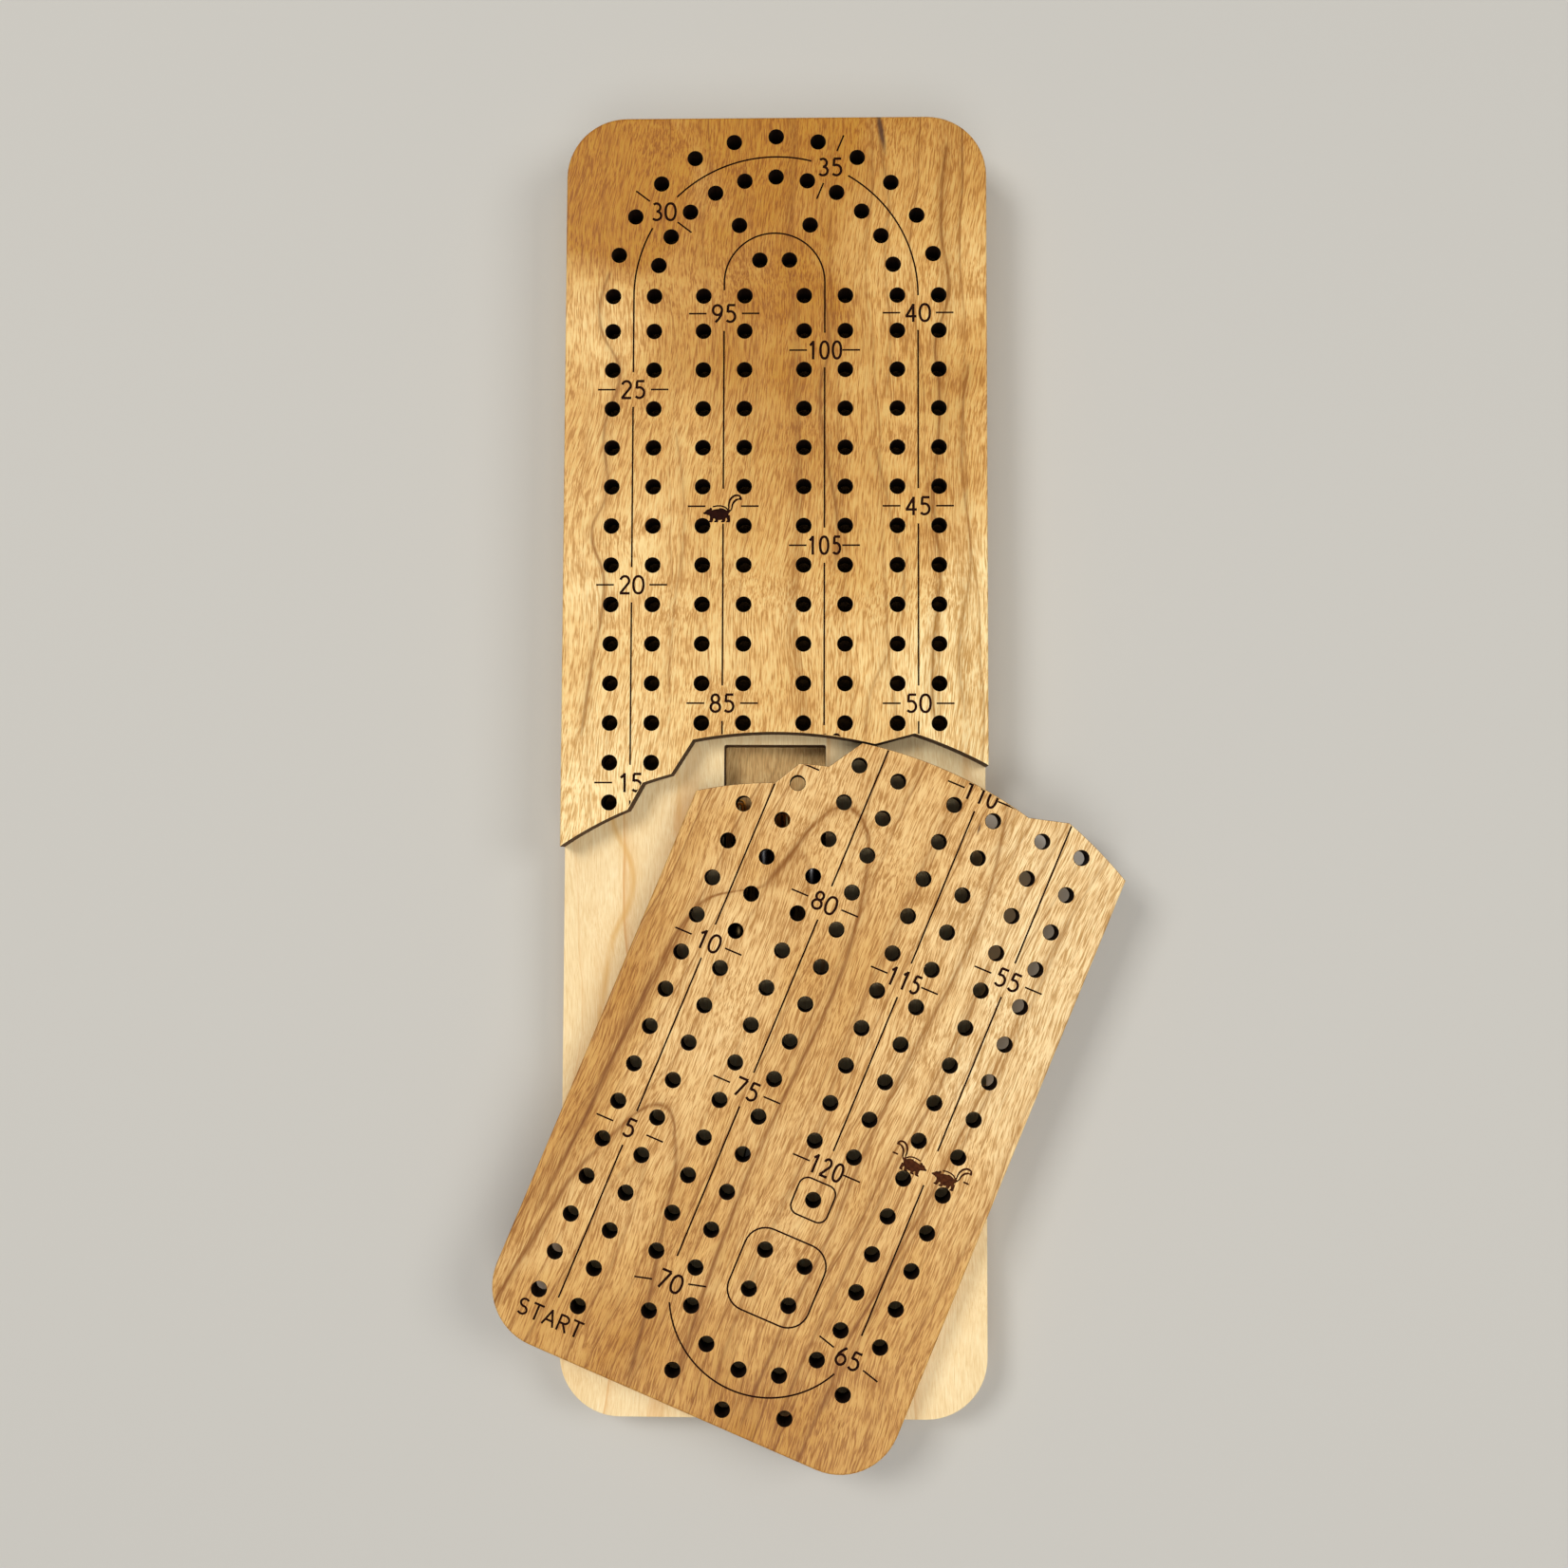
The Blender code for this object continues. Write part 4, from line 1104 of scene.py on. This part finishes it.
def pocket_loop(grow=0.0, r=0.45):
    loop = []
    for cx, cy, start in ((x0 - grow + r, y0 - grow + r, -90), (x0 - grow + r, y1 + grow - r, 180),
                          (x1 + grow - r, y1 + grow - r, 90), (x1 + grow - r, y0 - grow + r, 0)):
        loop += arc(cx, cy, r, start, start - 90, 4)
    return loop


joint_z = (Z_BACK[1] + Z_CORE[0]) / 2
core = layered("maple_core_detailed", board_points, board_kinds, joint_z, Z_CORE[1],
               [[(pocket_loop(0.07), Z_CORE[1]), (pocket_loop(), Z_CORE[1] - 0.07), (pocket_loop(), joint_z)],
                [(clockwise(*PIVOT, 6.3), Z_CORE[1]), (clockwise(*PIVOT, 6.3), Z_CORE[1] - 0.9),
                 (clockwise(*PIVOT, 2.3), Z_CORE[1] - 0.9), (clockwise(*PIVOT, 2.3), joint_z)]], top_round=0.12)
dress(core, [MAPLE_WOOD, CHAR])
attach(core, "base")
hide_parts("maple_core")

back = layered("back_panel_detailed", board_points, board_kinds, Z_BACK[0], joint_z,
               [[(clockwise(*PIVOT, 2.3), joint_z), (clockwise(*PIVOT, 2.3), 2.35), (clockwise(*PIVOT, 4.15), 0.5),
                 (clockwise(*PIVOT, 4.15), Z_BACK[0])]], low_round=0.6)
dress(back, [BACK_WOOD, BACK_WOOD])
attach(back, "base")
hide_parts("back_panel")


# ------------------------------------------------------------------ hardware
def turned(name, profile, sides=64, close=True):
    """Solid of revolution about Z; profile is (radius, z) in millimetres, from the low end to the high end."""
    bm = bmesh.new()
    rings = []
    for r, z in profile:
        if r < 1e-6:
            rings.append([bm.verts.new((0, 0, z * MM))])
        else:
            rings.append([bm.verts.new((r * MM * math.cos(2 * math.pi * k / sides), r * MM * math.sin(2 * math.pi * k / sides), z * MM))
                          for k in range(sides)])
    for lower, upper in zip(rings, rings[1:]):
        for k in range(sides):
            n = (k + 1) % sides
            if len(lower) == 1:
                bm.faces.new((lower[0], upper[n], upper[k]))
            elif len(upper) == 1:
                bm.faces.new((lower[k], lower[n], upper[0]))
            else:
                bm.faces.new((lower[k], lower[n], upper[n], upper[k]))
    if not close:
        for k in range(sides):
            n = (k + 1) % sides
            bm.faces.new((rings[-1][k], rings[-1][n], rings[0][n], rings[0][k]))
    bmesh.ops.recalc_face_normals(bm, faces=bm.faces)
    mesh = bpy.data.meshes.new(name)
    bm.to_mesh(mesh)
    bm.free()
    mesh.shade_smooth()
    mesh.set_sharp_from_angle(angle=math.radians(32))
    obj = bpy.data.objects.new(name, mesh)
    bpy.context.scene.collection.objects.link(obj)
    return obj


def smooth_profile(points, steps=5):
    out = []
    for i in range(len(points) - 1):
        p0, p1, p2, p3 = points[max(i - 1, 0)], points[i], points[i + 1], points[min(i + 2, len(points) - 1)]
        for k in range(steps):
            u = k / steps
            out.append(tuple(0.5 * (2 * b + (c - a) * u + (2 * a - 5 * b + 4 * c - d) * u * u + (3 * b - a - 3 * c + d) * u ** 3)
                             for a, b, c, d in zip(p0, p1, p2, p3)))
    out.append(points[-1])
    return out


# (radius, distance from the head end)
PEG = ([(0.0, 0.0), (0.55, 0.0), (1.2, 0.06), (1.72, 0.22), (2.08, 0.48), (2.29, 0.85), (2.35, 1.25), (2.35, 3.1)]
       + [(2.31, 3.22), (2.0, 3.45), (1.86, 3.5), (1.8, 3.6), (1.8, 3.95), (1.74, 4.1)]
       + smooth_profile([(1.74, 4.1), (1.46, 5.1), (1.72, 6.6), (2.16, 9.2), (2.2, 12.5), (1.98, 16.6), (1.6, 20.4)])[1:]
       + [(1.6, 20.7), (1.56, 20.85), (1.44, 21.0), (1.43, 24.5), (1.4, 28.6), (1.34, 29.2), (1.14, 29.7), (0.8, 29.95), (0.0, 30.0)])
for node, mat, slot, body, flip in (("brass_peg_1", BRASS, "brass", "peg_a", False), ("steel_peg_1", STEEL, "steel", "peg_b", True),
                                    ("brass_peg_2", BRASS, "brass", "peg_c", False), ("steel_peg_2", STEEL, "steel", "peg_d", True)):
    low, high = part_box(node)
    profile = [(r, (30.0 - z) if flip else z) for r, z in PEG]
    if flip:
        profile = profile[::-1]
    peg = turned(node + "_turned", profile, 56)
    peg.matrix_world = (Matrix.Translation(((low.x + high.x) / 2, low.y, (low.z + high.z) / 2))
                        @ Matrix.Rotation(math.radians(-90), 4, "X"))
    dress(peg, [mat])
    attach(peg, body)
    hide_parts(node)

pivot_place = Matrix.Translation((PIVOT.x * MM, PIVOT.y * MM, 0.0)) @ Matrix.Rotation(LID_ANGLE, 4, "Z")


def threaded_rod(radius, pitch, z0, z1):
    profile = []
    z = z0
    while z + pitch <= z1:
        profile += [(radius - 0.22, z), (radius, z + pitch * 0.42), (radius, z + pitch * 0.55)]
        z += pitch
    profile.append((radius - 0.22, z))
    return profile


screw = turned("pivot_screw_detailed", [(0.0, 0.3), (3.55, 0.3), (3.72, 0.34), (3.8, 0.42), (3.8, 0.55), (2.0, 2.35), (2.0, 9.6)]
               + threaded_rod(2.0, 0.7, 9.75, 13.6) + [(1.6, 13.95), (1.3, 14.3), (0.0, 14.3)], 48)
socket = turned("socket_cut", [(0.0, -0.5), (1.44, -0.5), (1.44, 1.45), (0.0, 1.9)], 6)
cut = screw.modifiers.new("socket", "BOOLEAN")
cut.operation, cut.solver, cut.object = "DIFFERENCE", "EXACT", socket
bpy.context.view_layer.update()
evaluated = bpy.data.meshes.new_from_object(screw.evaluated_get(bpy.context.evaluated_depsgraph_get()))
screw.modifiers.clear()
screw.data = evaluated
screw.data.set_sharp_from_angle(angle=math.radians(32))
bpy.data.objects.remove(socket)
screw.matrix_world = pivot_place
dress(screw, [ZINC])
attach(screw, "lid")
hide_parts("pivot_screw")


def knurled_insert():
    bm = bmesh.new()
    sides = 72
    rings = []
    rows = [(2.7, 10.45, 0.0), (3.0, 10.7, 1.0), (3.0, 12.3, 1.0), (2.72, 12.45, 0.0), (2.72, 12.9, 0.0), (3.0, 13.05, -1.0),
            (3.0, 14.75, -1.0), (2.75, 15.0, 0.0), (2.35, 15.0, 0.0), (2.3, 14.9, 0.0)]
    for r, z, knurl in rows:
        ring = []
        for k in range(sides):
            rr = r - (0.14 if knurl and k % 3 == 0 else 0.0)
            a = 2 * math.pi * k / sides
            ring.append(bm.verts.new((rr * MM * math.cos(a), rr * MM * math.sin(a), z * MM)))
        rings.append(ring)
    z = 14.7
    while z > 10.9:
        for r, dz in ((2.3, 0.0), (2.12, -0.25), (2.12, -0.4)):
            rings.append([bm.verts.new((r * MM * math.cos(2 * math.pi * k / sides), r * MM * math.sin(2 * math.pi * k / sides), (z + dz) * MM))
                          for k in range(sides)])
        z -= 0.7
    rings.append([bm.verts.new((2.3 * MM * math.cos(2 * math.pi * k / sides), 2.3 * MM * math.sin(2 * math.pi * k / sides), 10.5 * MM))
                  for k in range(sides)])
    for a, b in zip(rings, rings[1:] + rings[:1]):
        for k in range(sides):
            n = (k + 1) % sides
            bm.faces.new((a[k], a[n], b[n], b[k]))
    bmesh.ops.recalc_face_normals(bm, faces=bm.faces)
    mesh = bpy.data.meshes.new("threaded_insert_detailed")
    bm.to_mesh(mesh)
    bm.free()
    obj = bpy.data.objects.new("threaded_insert_detailed", mesh)
    bpy.context.scene.collection.objects.link(obj)
    return obj


insert = knurled_insert()
insert.matrix_world = pivot_place
dress(insert, [BRASS])
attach(insert, "lid")
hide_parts("threaded_insert")

washer = turned("thrust_washer_detailed", [(2.45, 9.25), (5.85, 9.25), (6.0, 9.33), (6.0, 9.77), (5.85, 9.85), (2.55, 9.85), (2.4, 9.77), (2.4, 9.33)], 72, close=False)
washer.matrix_world = Matrix.Translation((PIVOT.x * MM, PIVOT.y * MM, 0.0))
nylon = Tree("nylon")
grain = nylon.noise(nylon.vec("MULTIPLY", nylon.place(), (1.2, 1.2, 1.2)), detail=3.0)
nylon.link(nylon.ramp(grain, [(0.35, srgb(214, 211, 202)), (0.7, srgb(228, 226, 218))]), nylon.shader.inputs["Base Color"])
nylon.shader.inputs["Roughness"].default_value = 0.55
nylon.bump(grain, 0.00002, 0.4)
dress(washer, [nylon.mat])
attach(washer, "base")
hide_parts("thrust_washer")

# ------------------------------------------------------------------ studio
floor_mesh = bpy.data.meshes.new("studio_floor")
bm = bmesh.new()
bmesh.ops.create_grid(bm, x_segments=1, y_segments=1, size=4.0)
bm.to_mesh(floor_mesh)
bm.free()
floor = bpy.data.objects.new("studio_floor", floor_mesh)
bpy.context.scene.collection.objects.link(floor)
floor.location = (0.0, 0.0, CAD_BOX[0][2] - 0.0002)
paper = Tree("studio_paper")
paper.shader.inputs["Base Color"].default_value = (*srgb(196, 194, 188), 1.0)
paper.shader.inputs["Roughness"].default_value = 0.85
dress(floor, [paper.mat])


def area_light(name, location, target, size, power, colour=(1.0, 1.0, 1.0), size_y=None):
    data = bpy.data.lights.new(name, "AREA")
    data.shape = "RECTANGLE"
    data.size = size
    data.size_y = size_y or size
    data.energy = power
    data.color = colour
    obj = bpy.data.objects.new(name, data)
    bpy.context.scene.collection.objects.link(obj)
    obj.location = location
    obj.rotation_euler = (Vector(target) - Vector(location)).to_track_quat("-Z", "Y").to_euler()
    return obj


area_light("overhead", (-0.60, 0.38, 1.12), (0, 0, 0), 0.45, 7.9, (1.0, 0.98, 0.95))
area_light("right", (0.80, 0.12, 0.95), (0, 0, 0), 0.55, 4.8, (1.0, 0.98, 0.95))
area_light("front", (0.05, -0.62, 1.1), (0, -0.08, 0), 0.7, 4.8, (1.0, 0.98, 0.96))
world = bpy.data.worlds.new("studio")
world.use_nodes = True
world.node_tree.nodes["Background"].inputs[0].default_value = (0.97, 0.97, 0.97, 1.0)
world.node_tree.nodes["Background"].inputs[1].default_value = 0.26
bpy.context.scene.world = world
bpy.context.scene.view_settings.view_transform = "Standard"

# ------------------------------------------------------------------ camera: straight down on the board, a little below its middle
camera_data = bpy.data.cameras.new("camera")
camera_data.sensor_width = 36.0
camera_data.lens = 36.0 * 1706.0 / 1652.0
camera = bpy.data.objects.new("camera", camera_data)
bpy.context.scene.collection.objects.link(camera)
to_camera = Matrix(((0.99973, 0.003049, -0.023017), (-0.001778, 0.998482, 0.055045), (0.02315, -0.054989, 0.998219)))
camera.matrix_world = Matrix.Translation((0.009848, -0.023773, 0.351844)) @ to_camera.transposed().to_4x4()
bpy.context.scene.camera = camera

bpy.context.view_layer.update()
